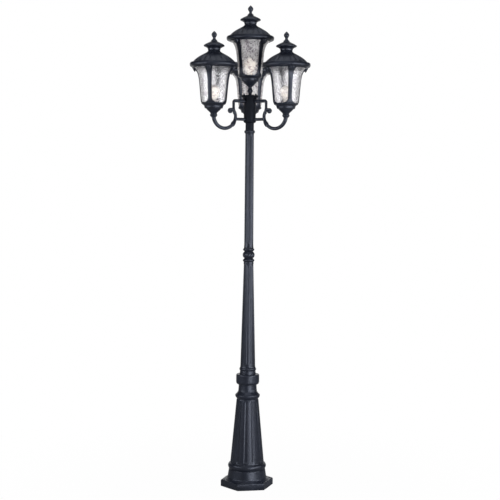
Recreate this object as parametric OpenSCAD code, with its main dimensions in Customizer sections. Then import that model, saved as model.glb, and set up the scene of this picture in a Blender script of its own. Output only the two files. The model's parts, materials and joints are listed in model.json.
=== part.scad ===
// Four-head garden lamp post: a fluted column on a hexagonal foot, three scrolled
// arms round a hub, and a lantern on each arm with a fourth on top of the hub.
// Millimetres, Z up, origin on the ground in the middle of the foot.

/* [Foot] */
// Corner radius of the hexagonal plate
plate_r = 132; // [126:1:150]
// Thickness of the plate at its edge
plate_t = 33; // [26:1:44]
// Turn of the hexagon about the post
plate_turn = 10; // [0:1:59]
// Radius of the circle of anchor holes
anchor_circle_r = 114; // [111:0.5:116]
// Radius of one anchor hole
anchor_hole_r = 5.5; // [4:0.5:6.5]
// Radius of the flat seat round an anchor hole
anchor_seat_r = 10; // [8:0.5:11]
// Height of the plain foot above the plate
foot_h = 52; // [40:1:80]
// Radius of the bead above the foot
bead_r = 94.5; // [92:0.5:97]
// Height of the fluted cone
cone_h = 312; // [240:1:420]
// Radius of the fluted cone at its bottom
cone_low_r = 83; // [78:0.5:86]
// Radius of the fluted cone at its top
cone_top_r = 54.5; // [50:0.5:60]
// Wall of the castings of the post
post_wall = 6; // [5:0.5:7]
// Number of flutes round the foot and the column
flute_count = 12; // [8:1:14]
// Depth of a flute on the foot
foot_flute_d = 2.5; // [2:0.25:3]
// Turn of the flutes about the post
flute_turn = 23; // [0:1:44]

/* [Collar] */
// Radius of the moulding under the collar
moulding_r = 61; // [58:0.5:66]
// Height of the collar
collar_h = 50; // [36:1:64]
// Radius of the collar
collar_r = 57.5; // [52:0.5:62]
// Radius of one collar screw
collar_screw_r = 3; // [2:0.5:4]

/* [Column] */
// Length of the lower shaft
lower_len = 599; // [480:1:720]
// Radius of the lower shaft at its bottom
lower_r = 37; // [34:0.5:38]
// Radius of the lower shaft at its top
lower_top_r = 24; // [23.5:0.25:26]
// Length of the upper shaft
upper_len = 568; // [460:1:680]
// Radius of the upper shaft at its bottom
upper_r = 22.75; // [22.25:0.25:24]
// Radius of the upper shaft at its top
upper_top_r = 21.5; // [21:0.25:22.5]
// Depth of a flute on the shafts
shaft_flute_d = 1.25; // [0.75:0.25:1.5]
// Height of the moulded joint between the shafts
knuckle_h = 85; // [75:1:100]
// Radius of the ball of that joint
ball_r = 30; // [28:0.5:32]
// Outer radius of the pipe inside the lower joint
low_pipe_r = 31; // [28:0.5:31.5]
// Outer radius of the pipes inside the upper joints
pipe_r = 16; // [14:0.5:16.5]
// Clearance round each inner pipe
pipe_clear = 0.2; // [0.1:0.05:0.4]
// Radius of the ring under the hub
ring_r = 27; // [25:0.5:30]
// Height of the ring under the hub
ring_h = 16; // [12:1:22]

/* [Hub] */
// Outer radius of the hub
hub_r = 30; // [28.5:0.5:34]
// Height of the hub above its neck
hub_h = 130; // [120:1:150]
// Length of the neck under the hub
hub_neck_h = 35; // [28:1:50]
// Radius of the disc that covers the hub
cap_r = 46; // [42:1:52]
// Thickness of that disc
cap_t = 8; // [6:0.5:10]
// Height of the turned stem under the top lantern
stem_h = 49; // [42:1:64]

/* [Arms] */
// Distance from the post to a side lantern's middle
arm_reach = 205; // [200:1:225]
// Distance from the post to the inner side of the scroll
arm_inner = 82; // [78:1:86]
// Distance from the post to the arm's upright part
arm_outer = 93; // [90:1:98]
// Radius of the upper bar
upper_bar_r = 8.5; // [7.5:0.25:9]
// Radius of the upright part
upright_r = 6.75; // [6:0.25:7.5]
// Radius of the lower bar
lower_bar_r = 7.5; // [6.5:0.25:8]
// Radius of the arm's inner half
inner_tube_r = 8; // [7.25:0.25:8.5]
// Radius of the arm's outer half
outer_tube_r = 9.5; // [8.75:0.25:10.5]
// Radius of the scroll's eye
curl_r = 7; // [6.5:0.25:8]
// Height of the cup above the arm's end
cup_h = 12; // [10:0.5:18]
// Radius of the cup under a side lantern
cup_r = 18; // [16:0.5:20]

/* [Lantern] */
// Radius of the cage at the bottom of its windows
bowl_r = 64; // [60:0.5:66]
// Height of the bowl
bowl_h = 48; // [46:0.5:54]
// Height of the windows
window_h = 174; // [156:1:180]
// Growth of the cage's radius up its straight part
shade_taper = 16; // [12:0.5:18]
// Further growth of its radius at the flared top
shade_flare = 22; // [17:0.5:23]
// Width of one rib of the cage
rib_w = 17.5; // [14:0.5:20]
// Thickness of the ribs
rib_t = 4; // [3:0.25:4.5]
// Radius of the window's lower corners
corner_r = 21; // [12:0.5:22]
// Thickness of the glass shade
glass_t = 3; // [2:0.25:3.5]
// Clearance between the shade and the cage
glass_clear = 0.5; // [0.3:0.1:0.8]
// How far the roof's rolled rim stands out past the cage's flange
rim_over = 9; // [6.5:0.5:10]
// Height of the roof from its rim to its neck
roof_h = 60; // [50:1:70]
// Radius of the roof's neck
neck_r = 29; // [26:0.5:32]
// Wall of the roof
roof_wall = 3.5; // [3:0.25:4]
// Radius of the crown's brim
crown_r = 51.5; // [45:0.5:54]
// Height of the crown
crown_h = 44; // [38:1:50]
// Height of the finial
finial_h = 50; // [44:1:58]
// Greatest radius of the finial's bud
bud_r = 13.5; // [11:0.5:14]

/* [Lamp] */
// Radius of the bulb
bulb_r = 30; // [24:0.5:31]
// Radius of the bulb's screw cap
bulb_cap_r = 13.2; // [12.8:0.1:13.6]
// Outer radius of the lamp socket
socket_r = 18; // [17:0.5:19]
// Radius of the threaded tubes under the sockets
tube_r = 5; // [4.5:0.25:5.5]
// Radius of the rod that holds a roof down
rod_r = 3; // [2.5:0.25:3.5]
// Clearance of a piece that turns or lifts
move_clear = 0.3; // [0.2:0.05:0.4]
// Radial clearance of the finial on its rod
thread_clear = 0.08; // [0.05:0.01:0.1]
// Clearance of a fixed bolt or tube in its hole
bolt_clear = 0.2; // [0.1:0.05:0.3]

/* [Hidden] */
$fn = 64;

// Colours
iron = [0.13, 0.14, 0.16];
iron_light = [0.2, 0.21, 0.24];
steel = [0.62, 0.63, 0.64];
brass = [0.72, 0.6, 0.33];
pale = [0.9, 0.89, 0.85];
clear_glass = [0.85, 0.9, 0.92, 0.4];
dark_rubber = [0.08, 0.08, 0.09];

// Heights of the foot's parts above the ground
plate_rise = 7;
edge = 4;
foot_r = bead_r + 4.5;
foot_top_r = bead_r - 4.5;
bead_h = 32;
moulding_h = 45;
neck_h = 31;
foot_z = plate_t + plate_rise;
plate_flat_r = (plate_r - edge) * cos(30) - 1;
bead_z = plate_t + foot_h;
cone_z = bead_z + bead_h;
moulding_z = cone_z + cone_h;
neck_z = moulding_z + moulding_h;
shaft_z = neck_z + neck_h;
base_top_r = collar_r - 13;
// Share of the way round that the flutes take up
foot_fill = 0.36;
shaft_fill = 0.4;

// Lower shaft: a plain seat for the collar, a bead, then the flutes
seat_h = collar_h + 4;
seat_r = lower_r + 3;
shaft_bead_r = lower_r + 5;
shaft_bead_h = 30;
fluted_z = shaft_z + seat_h + shaft_bead_h + 7;
knuckle_z = shaft_z + lower_len;
upper_z = knuckle_z + knuckle_h;
upper_foot_h = 14;
ring_z = upper_z + upper_len;
hub_neck_z = ring_z + ring_h;
hub_z = hub_neck_z + hub_neck_h;
cap_z = hub_z + hub_h;
stem_z = cap_z + cap_t;
shaft_wall = 4;
pipe_seat = 36;

// Hub and its cover
hub_wall = 5;
hub_neck_r = upper_top_r - 0.5;
nut_circle_r = hub_r + 3;
nut_count = 3;
nut_turn = -30;
nut_af = 10;
nut_h = 5;
stud_r = 2.5;
stud_h = 9;
boss_r = 5.5;

// Arms
side_dirs = [-150, -30, 90];
upper_bar_z = cap_z - 21;
lower_bar_z = hub_z + 18;
spigot_r = 5.5;
spigot_in = 14;
arm_nut_af = 17;
arm_nut_t = 5;
// The nuts' edges touch the round wall inside the hub
arm_nut_at = sqrt(pow(hub_r - hub_wall, 2) - pow(arm_nut_af / 2, 2)) - arm_nut_t - 0.05;
boss_z = upper_bar_z + upper_bar_r + 0.5;
scoop_r = (arm_reach - arm_inner) / 2;
scoop_x = arm_inner + scoop_r;
scoop_z = lower_bar_z + 14;
elbow_r = upper_bar_r + 0.75;
joint_extra = 0.35;
// How far the bars start inside the hub's wall, and its spigots run on into them
bar_in = 3;
spigot_on = 8;
hub_gap = 0.1;
// Fall of the upright while it bends inwards, and the scroll's place under its middle
sway_h = 42;
sway_least = 4;
curl_drop = 7;
curl_lead = 3;
curl_bend = 7.4;
curl_x = arm_outer + 17;
leaf_turn = 221;
leaf_r = inner_tube_r + 2.75;

// Lantern places: name, x, y, height of the bowl's underside, turn
top_z = stem_z + stem_h;
side_z = scoop_z + cup_h;
function side_place(i) = [arm_reach * cos(side_dirs[i]), arm_reach * sin(side_dirs[i]),
    side_z, side_dirs[i]];
places = [[0, 0, top_z, 0], side_place(0), side_place(1), side_place(2)];
names = ["top", "left", "right", "back"];

// Lantern heights above the bowl's underside
window_top = bowl_h + window_h;
flange_h = 9;
flange_top = window_top + flange_h;
flange_r = bowl_r + shade_taper + shade_flare + 8;
// Width of the roof's seat on the flange
roof_seat = 5;
floor_h = 7;
ledge_h = bowl_h - 3;
gasket_h = 2;
shade_low = ledge_h + gasket_h;
rib_top_w = rib_w + 9;
// How deep the ribs' ends are sunk into bowl and flange, and where the bars they
// are cut from begin
rib_sink = 0.5;
rib_from = 20;
roof_z = flange_top + move_clear;
rim_h = 22;
rim_low = flange_top - 5.5;
skin_z = rim_low + rim_h;
rim_r = flange_r + rim_over;
skin_r = rim_r - 13;
neck_top = skin_z + roof_h;
crown_top = neck_top + crown_h;
strap_t = 3;
strap_w = 12;
strap_z = flange_top;
strap_screw_r = 1.75;
strap_screw_h = 5;
strap_screw_at = flange_r - 8.5;
rod_nut_h = 4;
rod_low = strap_z - rod_nut_h - 3;
rod_top = crown_top + 18;
finial_bore_h = 21;
ear_w = 24;
// The cup's skirt round the arm's end, and its clearance round the curved tube
cup_skirt = 9;
cup_clear = 1.1;

// Socket and bulb heights above the bowl's underside
socket_z = 15;
socket_h = 42;
cap_low = socket_z + 17;
bulb_cap_h = 25;
bulb_neck_h = 20;
bulb_z = cap_low + bulb_cap_h + bulb_neck_h + bulb_r;
tube_in_arm = 13;

// Points along an arc, from angle a0 to a1 in n steps
function arc(cx, cy, r, a0, a1, n) =
    [for (i = [0:n]) [cx + r * cos(a0 + (a1 - a0) * i / n), cy + r * sin(a0 + (a1 - a0) * i / n)]];
function flip(points) = [for (i = [len(points) - 1:-1:0]) points[i]];

// Solid of revolution from a closed outline in radius and height
module turned(outline) {
    rotate_extrude($fn = 96) polygon(outline);
}

// One flute: a long tool that tapers out at both ends. It follows a cone from radius
// r0 at height z0 to r1 at z1, and takes the share fill of the way round.
module flute_tool(r0, z0, r1, z1, depth, fill) {
    w0 = 2 * r0 * sin(180 / flute_count * fill);
    w1 = 2 * r1 * sin(180 / flute_count * fill);
    g0 = w0 * w0 / (8 * depth) + depth / 2;
    g1 = w1 * w1 / (8 * depth) + depth / 2;
    lean = atan2(r0 + g0 - r1 - g1, z1 - z0);
    run = norm([r0 + g0 - r1 - g1, z1 - z0]);
    tip = min(w0 * 0.6, run / 6);
    translate([r0 + g0 - depth, 0, z0])
        rotate([0, -lean, 0])
            rotate_extrude($fn = 48)
                polygon([[0, 0], [g0 - depth * 1.2, 0], [g0, tip], [g1, run - tip],
                    [g1 - depth * 1.2, run], [0, run]]);
}

module flutes(r0, z0, r1, z1, depth, fill) {
    for (i = [0:flute_count - 1])
        rotate([0, 0, flute_turn + i * 360 / flute_count])
            flute_tool(r0, z0, r1, z1, depth, fill);
}

// Foot casting: hexagonal plate, plain foot, bead, fluted cone, moulding and neck
module base_casting() {
    color(iron)
    difference() {
        union() {
            rotate([0, 0, plate_turn]) {
                cylinder(r = plate_r, h = plate_t - edge, $fn = 6);
                translate([0, 0, plate_t - edge])
                    cylinder(r1 = plate_r, r2 = plate_r - edge, h = edge, $fn = 6);
            }
            turned(concat([[0, 1], [foot_r, 1], [foot_r, plate_t - 1],
                [plate_flat_r + 1.5, plate_t - 1], [foot_r, foot_z], [foot_r - 3, foot_z + 3],
                [foot_top_r, bead_z - 1]],
                arc(bead_r - 16, bead_z + 16, 16, -62, 62, 8),
                [[cone_low_r, cone_z], [cone_top_r, moulding_z],
                [moulding_r - 8, moulding_z + 5]],
                arc(moulding_r - 8, moulding_z + 22, 8, -60, 50, 6),
                [[base_top_r + 3, neck_z - 4], [base_top_r + 2, neck_z], [base_top_r, shaft_z],
                [0, shaft_z]]));
        }
        flutes(cone_low_r, cone_z + 6, cone_top_r, moulding_z - 4, foot_flute_d, foot_fill);
        turned([[0, -1], [foot_r - 22, -1], [foot_r - 22, plate_t],
            [foot_top_r - post_wall - 4, bead_z], [cone_low_r - post_wall - 4, cone_z],
            [cone_top_r - post_wall - 4, moulding_z], [low_pipe_r - 4, neck_z - 12],
            [low_pipe_r - 4, neck_z - 5], [low_pipe_r + pipe_clear, neck_z - 5],
            [low_pipe_r + pipe_clear, shaft_z + 1], [0, shaft_z + 1]]);
        for (i = [0:5])
            rotate([0, 0, plate_turn + i * 60])
                translate([anchor_circle_r, 0, 0]) {
                    translate([0, 0, -1])
                        cylinder(r = anchor_hole_r, h = plate_t + 2);
                    translate([0, 0, plate_t - 0.5])
                        cylinder(r = anchor_seat_r, h = plate_rise + 4);
                }
    }
}

module base_collar() {
    color(iron)
    difference() {
        turned(concat([[seat_r + bolt_clear, shaft_z]],
            arc(collar_r - 10, shaft_z + 10, 10, -90, 0, 5),
            arc(collar_r - 5, shaft_z + collar_h - 5, 5, 0, 90, 4),
            [[seat_r + bolt_clear, shaft_z + collar_h]]));
        at_collar_screws()
            cylinder(r = collar_screw_r + bolt_clear, h = collar_r);
    }
}

// Three places round the collar, each with Z pointing outwards from the shaft
module at_collar_screws() {
    for (a = [90, 210, 330])
        rotate([0, 0, a])
            translate([seat_r + 0.05, 0, shaft_z + collar_h * 0.56])
                rotate([0, 90, 0])
                    children();
}

module collar_screws() {
    color(steel)
    at_collar_screws()
        difference() {
            cylinder(r = collar_screw_r, h = collar_r - seat_r - 1.5);
            translate([0, 0, collar_r - seat_r - 4.5])
                cylinder(r = collar_screw_r * 0.55, h = 4, $fn = 6);
        }
}

// A straight inner pipe from height z0 to z1
module pipe(r, wall, z0, z1) {
    translate([0, 0, z0])
        difference() {
            cylinder(r = r, h = z1 - z0);
            translate([0, 0, -1])
                cylinder(r = r - wall, h = z1 - z0 + 2);
        }
}

module base_pipe() {
    color(steel)
    pipe(low_pipe_r, 4, neck_z - 5, shaft_z + seat_h + 20);
}

module lower_shaft() {
    inner_low = low_pipe_r + pipe_clear;
    inner_top = pipe_r + pipe_clear;
    color(iron)
    difference() {
        turned(concat([[inner_low, shaft_z], [seat_r, shaft_z], [seat_r, shaft_z + seat_h],
            [seat_r - 1, shaft_z + seat_h + 12]],
            arc(shaft_bead_r - 8, shaft_z + seat_h + 21, 8, -70, 70, 6),
            [[lower_r, fluted_z], [lower_top_r, knuckle_z], [inner_top, knuckle_z],
            [inner_top, knuckle_z - pipe_seat], [pipe_r - 3, knuckle_z - pipe_seat],
            [pipe_r - 3, knuckle_z - pipe_seat - 4],
            [lower_top_r - shaft_wall, knuckle_z - pipe_seat - 12],
            [lower_r - shaft_wall - 2, fluted_z], [inner_low, fluted_z - 10]]));
        flutes(lower_r, fluted_z + 4, lower_top_r, knuckle_z - 8, shaft_flute_d, shaft_fill);
    }
}

// Joint between the shafts: two rings with a ball between them
module shaft_knuckle() {
    bore = pipe_r + pipe_clear;
    mid = knuckle_z + knuckle_h * 0.54;
    color(iron)
    turned(concat([[bore, knuckle_z], [lower_top_r + 1, knuckle_z],
        [lower_top_r + 1.5, knuckle_z + 10]],
        arc(ball_r - 6, knuckle_z + 19, 5, -60, 60, 5),
        [[ball_r - 5.5, mid - 19]],
        arc(ball_r - 20, mid, 20, -52, 52, 10),
        [[ball_r - 6, mid + 18]],
        arc(ball_r - 6.5, mid + 26, 5, -60, 60, 5),
        [[upper_r + 1.5, upper_z - 4], [upper_r + 1, upper_z], [bore, upper_z]]));
}

module knuckle_pipe() {
    color(steel)
    pipe(pipe_r, 3, knuckle_z - pipe_seat, upper_z + pipe_seat - 2);
}

module upper_shaft() {
    bore = pipe_r + pipe_clear;
    color(iron)
    difference() {
        turned([[bore, upper_z], [upper_r + 1, upper_z], [upper_r, upper_z + upper_foot_h],
            [upper_top_r, ring_z], [bore, ring_z], [bore, ring_z - pipe_seat],
            [pipe_r - 3, ring_z - pipe_seat], [pipe_r - 3, ring_z - pipe_seat - 4],
            [bore + 0.8, ring_z - pipe_seat - 12], [bore + 0.8, upper_z + pipe_seat + 5],
            [bore, upper_z + pipe_seat]]);
        flutes(upper_r, upper_z + upper_foot_h + 3, upper_top_r, ring_z - 5,
            shaft_flute_d, shaft_fill);
    }
}

module shaft_ring() {
    bore = pipe_r + pipe_clear;
    color(iron)
    turned(concat([[bore, ring_z], [ring_r - 4, ring_z]],
        arc(ring_r - ring_h / 2 + 1, ring_z + ring_h / 2, ring_h / 2 - 1, -60, 60, 8),
        [[ring_r - 4, ring_z + ring_h], [bore, ring_z + ring_h]]));
}

module hub_pipe() {
    color(steel)
    pipe(pipe_r, 3, ring_z - pipe_seat, hub_z + 1);
}

// Places of the cover's three nuts
module at_cap_nuts() {
    for (i = [0:nut_count - 1])
        rotate([0, 0, nut_turn + i * 360 / nut_count])
            translate([nut_circle_r, 0, 0])
                children();
}

module hub() {
    bore = pipe_r + pipe_clear;
    color(iron)
    difference() {
        union() {
            turned([[0, hub_neck_z], [hub_neck_r, hub_neck_z], [hub_neck_r, hub_z - 1],
                [hub_r + 1, hub_z + 6], [hub_r + 1, hub_z + 11], [hub_r, hub_z + 13],
                [hub_r, cap_z], [0, cap_z]]);
            at_cap_nuts()
                translate([0, 0, boss_z])
                    cylinder(r = boss_r, h = cap_z - boss_z);
        }
        turned([[0, hub_neck_z - 1], [bore, hub_neck_z - 1], [bore, hub_z + 3],
            [hub_r - hub_wall, hub_z + 6], [hub_r - hub_wall, cap_z + 1], [0, cap_z + 1]]);
        for (a = side_dirs, z = [upper_bar_z, lower_bar_z])
            rotate([0, 0, a])
                translate([0, 0, z])
                    rotate([0, 90, 0])
                        cylinder(r = spigot_r + bolt_clear, h = hub_r + 5);
        at_cap_nuts()
            translate([0, 0, cap_z - stud_h - 1])
                cylinder(r = stud_r + bolt_clear, h = stud_h + 2);
    }
}

module hub_cap() {
    color(iron)
    difference() {
        turned([[0, cap_z - 3], [hub_r - hub_wall - bolt_clear, cap_z - 3],
            [hub_r - hub_wall - bolt_clear, cap_z], [cap_r - 4, cap_z], [cap_r - 1, cap_z + 1],
            [cap_r, cap_z + 3], [cap_r, stem_z - 3.5], [cap_r - 1.5, stem_z - 1],
            [cap_r - 4, stem_z], [0, stem_z]]);
        translate([0, 0, cap_z - 4])
            cylinder(r = tube_r + bolt_clear, h = cap_t + 5);
        at_cap_nuts()
            translate([0, 0, cap_z - 1])
                cylinder(r = stud_r + bolt_clear, h = cap_t + 2);
    }
}

module cap_nuts() {
    color(iron_light)
    at_cap_nuts() {
        translate([0, 0, cap_z - stud_h])
            cylinder(r = stud_r, h = stud_h + cap_t + 1);
        translate([0, 0, stem_z])
            cylinder(d = nut_af / cos(30), h = nut_h, $fn = 6);
        translate([0, 0, stem_z + nut_h - 0.5])
            turned(concat([[0, 0]], arc(0, 0, nut_af / 2 - 0.3, 0, 90, 6)));
    }
}

module top_stem() {
    color(iron)
    difference() {
        turned(concat([[0, stem_z], [15, stem_z], [13, stem_z + 2.5], [8.5, stem_z + 6],
            [8, stem_z + stem_h * 0.22], [9.5, stem_z + stem_h * 0.3]],
            arc(4, stem_z + stem_h * 0.48, 10, -48, 48, 8),
            [[9.5, stem_z + stem_h * 0.74], [10, stem_z + stem_h * 0.86],
            [15.5, top_z - 1.5], [15.5, top_z], [0, top_z]]));
        translate([0, 0, stem_z - 1])
            cylinder(r = tube_r + bolt_clear, h = stem_h + 2);
    }
}

// A round bar between two points of the arm's upright plane
module bar(x0, z0, x1, z1, r) {
    translate([x0, 0, z0])
        rotate([0, atan2(x1 - x0, z1 - z0), 0])
            cylinder(r = r, h = norm([x1 - x0, z1 - z0]));
}

// A bent round bar in that plane, from angle a0 to a1 about its centre
module bend(x, z, bend_r, r, a0, a1) {
    translate([x, 0, z])
        rotate([90, 0, 0])
            rotate([0, 0, a0])
                rotate_extrude(angle = a1 - a0, $fn = 72)
                    translate([bend_r, 0])
                        circle(r = r);
}

module knob(x, z, r) {
    translate([x, 0, z])
        sphere(r = r);
}

// One arm along +X: two bars, the upright with its scroll, and the scoop
module arm() {
    drop = upper_bar_z - elbow_r;
    curl_z = (drop + scoop_z) / 2 - curl_drop;
    // Two equal bends carry the upright inwards: half the shift and half the fall each
    shift = arm_outer - arm_inner;
    fall = min(sway_h, drop - scoop_z - sway_least);
    sway = 2 * atan2(shift, fall);
    sway_r = fall / (2 * sin(sway));
    difference() {
        union() {
            difference() {
                union() {
                    bar(hub_r - bar_in, upper_bar_z, arm_outer - elbow_r, upper_bar_z, upper_bar_r);
                    bar(hub_r - bar_in, lower_bar_z, arm_inner, lower_bar_z, lower_bar_r);
                }
                translate([0, 0, hub_z])
                    cylinder(r = hub_r + hub_gap, h = hub_h, $fn = 96);
            }
            bar(spigot_in, upper_bar_z, hub_r + spigot_on, upper_bar_z, spigot_r);
            bar(spigot_in, lower_bar_z, hub_r + spigot_on, lower_bar_z, spigot_r);
            bend(arm_outer - elbow_r, drop, elbow_r, upper_bar_r, 0, 90);
            knob(arm_outer, drop, upper_bar_r + joint_extra);
            bar(arm_outer, scoop_z + fall, arm_outer, drop, upright_r);
            knob(arm_outer, scoop_z + fall, inner_tube_r);
            bend(arm_outer - sway_r, scoop_z + fall, sway_r, upright_r + 0.5, -sway, 0);
            bend(arm_inner + sway_r, scoop_z, sway_r, upright_r + 0.8, 180 - sway, 180);
            knob(arm_inner, scoop_z, inner_tube_r + joint_extra);
            bend(scoop_x, scoop_z, scoop_r, inner_tube_r, 180, 270);
            knob(scoop_x, scoop_z - scoop_r, outer_tube_r + joint_extra);
            bend(scoop_x, scoop_z, scoop_r, outer_tube_r, 270, 360);
            knob(scoop_x + scoop_r * cos(leaf_turn), scoop_z + scoop_r * sin(leaf_turn), leaf_r);
            bar(arm_outer - curl_lead, curl_z + curl_lead, curl_x, curl_z + curl_bend, curl_r - 1);
            knob(curl_x, curl_z + curl_bend, curl_r - 1 + joint_extra);
            bend(curl_x, curl_z, curl_bend, curl_r - 1, -200, 90);
            knob(curl_x + curl_bend * cos(200), curl_z - curl_bend * sin(200), curl_r);
        }
        translate([arm_reach, 0, scoop_z - tube_in_arm])
            cylinder(r = tube_r + bolt_clear, h = tube_in_arm + 1);
    }
}

module arm_left() {
    color(iron) rotate([0, 0, side_dirs[0]]) arm();
}

module arm_right() {
    color(iron) rotate([0, 0, side_dirs[1]]) arm();
}

module arm_back() {
    color(iron) rotate([0, 0, side_dirs[2]]) arm();
}

// Nuts inside the hub, two on each arm
module arm_nuts() {
    color(steel)
    for (a = side_dirs, z = [upper_bar_z, lower_bar_z])
        rotate([0, 0, a])
            translate([arm_nut_at, 0, z])
                rotate([0, 90, 0])
                    difference() {
                        cylinder(d = arm_nut_af / cos(30), h = arm_nut_t, $fn = 6);
                        translate([0, 0, -1])
                            cylinder(r = spigot_r + 0.05, h = arm_nut_t + 2);
                    }
}

// Puts a lantern's piece in its place
module at_place(i) {
    translate([places[i][0], places[i][1], places[i][2]])
        rotate([0, 0, places[i][3]])
            children();
}

module arm_cups() {
    color(iron)
    for (i = [1:3])
        at_place(i)
            translate([0, 0, -cup_h])
                difference() {
                    turned([[0, 0], [outer_tube_r + cup_clear, 0],
                        [outer_tube_r + cup_clear, -cup_skirt],
                        [outer_tube_r + 2.5, -cup_skirt], [outer_tube_r + 4, -cup_skirt * 0.8],
                        [cup_r - 1.5, -cup_skirt * 0.4], [cup_r, -cup_skirt * 0.1],
                        [cup_r, cup_h * 0.25], [cup_r - 1, cup_h * 0.45], [15.5, cup_h * 0.62],
                        [15.5, cup_h * 0.8], [17, cup_h], [0, cup_h]]);
                    translate([0, 0, -1])
                        cylinder(r = tube_r + bolt_clear, h = cup_h + 2);
                }
}

// Threaded tubes that carry the sockets, up through stem or cup and bowl
module lamp_tubes() {
    color(steel)
    for (i = [0:3])
        at_place(i) {
            low = i == 0 ? -stem_h - cap_t - 16 : -cup_h - tube_in_arm + 1;
            pipe(tube_r, 1.5, low, socket_z + 4);
        }
}

// Nut on a threaded tube
module tube_nut() {
    difference() {
        cylinder(d = 17 / cos(30), h = 5, $fn = 6);
        translate([0, 0, -1])
            cylinder(r = tube_r + 0.05, h = 7);
    }
}

// Nuts that draw the bowls down, and one under the hub's cover
module lock_nuts() {
    color(steel) {
        for (i = [0:3])
            at_place(i)
                translate([0, 0, floor_h])
                    tube_nut();
        translate([0, 0, cap_z - 8])
            tube_nut();
    }
}

// Outer radius of the cage at the share u of the windows' height
function cage_r(u) = bowl_r + shade_taper * u + shade_flare * pow(u, 9);
cage_steps = [0, 0.16, 0.34, 0.52, 0.68, 0.78, 0.85, 0.9, 0.94, 0.97, 1];
// Outline up the cage, set inwards by the amount given
function cage_side(inset) =
    [for (u = cage_steps) [cage_r(u) - inset, bowl_h + window_h * u]];

// Half width of a rib going up: a round fillet below, then straight, wider at the top
function rib_side() = concat(
    [[rib_w / 2 + corner_r + 1, bowl_h - 4]],
    [for (i = [0:5]) [rib_w / 2 + corner_r - corner_r * sin(i * 18),
        bowl_h - rib_sink + corner_r - corner_r * cos(i * 18)]],
    [[rib_w / 2, bowl_h + window_h * 0.55], [rib_w / 2 + 1.5, bowl_h + window_h * 0.8],
    [rib_top_w / 2 - 1.5, window_top - 6], [rib_top_w / 2 + 2, window_top + 6]]);

module cage() {
    side = rib_side();
    difference() {
        union() {
            // Bowl
            turned([[0, 0], [17, 0], [18.5, 2], [30, 12.5], [36, 19],
                [bowl_r - 20.5, 21.5], [bowl_r - 19, 24], [bowl_r - 17, 32], [bowl_r - 15, 36.5],
                [bowl_r - 11.5, 39], [bowl_r - 4, bowl_h - 5], [bowl_r - 0.5, bowl_h - 2.5],
                [bowl_r, bowl_h], [bowl_r - rib_t, bowl_h], [bowl_r - rib_t, ledge_h],
                [bowl_r - 13, ledge_h], [bowl_r - 19.5, 37], [bowl_r - 23, 26.5], [32, 24],
                [18, floor_h], [0, floor_h]]);
            // Ribs
            intersection() {
                turned(concat([[bowl_r - rib_t + rib_sink, bowl_h - 2], [bowl_r - 0.7, bowl_h - 2]],
                    [for (p = cage_side(0)) if (p[1] > bowl_h) p],
                    [[cage_r(1) + 2, window_top + 2], [cage_r(1) - rib_t + 2, window_top + 2]],
                    flip([for (p = cage_side(rib_t)) if (p[1] > bowl_h) p])));
                for (a = [45:90:315])
                    rotate([0, 0, a])
                        translate([rib_from, 0, 0])
                            rotate([90, 0, 90])
                                linear_extrude(height = flange_r)
                                    polygon(concat(side, [for (p = flip(side)) [-p[0], p[1]]]));
            }
            // Flange that the roof and the strap sit on
            turned([[cage_r(1) - rib_t + rib_sink, window_top], [cage_r(1) - 1, window_top - 2],
                [cage_r(1) + 1.5, window_top], [flange_r - 1, flange_top - 3],
                [flange_r, flange_top - 1.5], [flange_r, flange_top],
                [cage_r(1) - rib_t + rib_sink, flange_top]]);
        }
        translate([0, 0, -1])
            cylinder(r = tube_r + bolt_clear, h = floor_h + 2);
        at_strap_screws()
            translate([0, 0, -strap_screw_h - 1])
                cylinder(r = strap_screw_r + bolt_clear, h = strap_screw_h + 2);
    }
}

// Bell of rippled glass inside the cage, open at both ends
module shade() {
    out = rib_t + glass_clear;
    color(clear_glass)
    turned(concat([[bowl_r - out - glass_t, shade_low], [bowl_r - out, shade_low]],
        [for (p = cage_side(out)) if (p[1] > shade_low + 1) p],
        flip([for (p = cage_side(out + glass_t)) if (p[1] > shade_low + 1) p])));
}

module shade_gaskets() {
    out = rib_t + glass_clear;
    color(dark_rubber)
    for (i = [0:3])
        at_place(i)
            turned([[bowl_r - out - glass_t - 1, ledge_h], [bowl_r - out, ledge_h],
                [bowl_r - out, shade_low], [bowl_r - out - glass_t - 1, shade_low]]);
}

module socket() {
    bore = bulb_cap_r + move_clear;
    color(pale)
    difference() {
        turned([[0, socket_z], [12, socket_z], [socket_r - 1, socket_z + 7], [socket_r, socket_z + 9],
            [socket_r, socket_z + socket_h - 1], [socket_r - 1, socket_z + socket_h],
            [bore, socket_z + socket_h], [bore, cap_low - move_clear],
            [0, cap_low - move_clear]]);
        translate([0, 0, socket_z - 1])
            cylinder(r = tube_r + bolt_clear, h = 6);
    }
}

module bulb_cap() {
    thread = bulb_cap_r - 0.9;
    turns = 5;
    pitch = 3.6;
    first = cap_low + 5;
    color(brass)
    turned(concat([[0, cap_low], [4.5, cap_low], [5.5, cap_low + 1.5], [10.5, cap_low + 3.5]],
        [for (i = [0:turns - 1]) each [[thread, first + i * pitch],
            [bulb_cap_r, first + (i + 0.5) * pitch]]],
        [[thread, first + turns * pitch], [thread + 0.4, cap_low + bulb_cap_h],
        [0, cap_low + bulb_cap_h]]));
}

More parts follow.
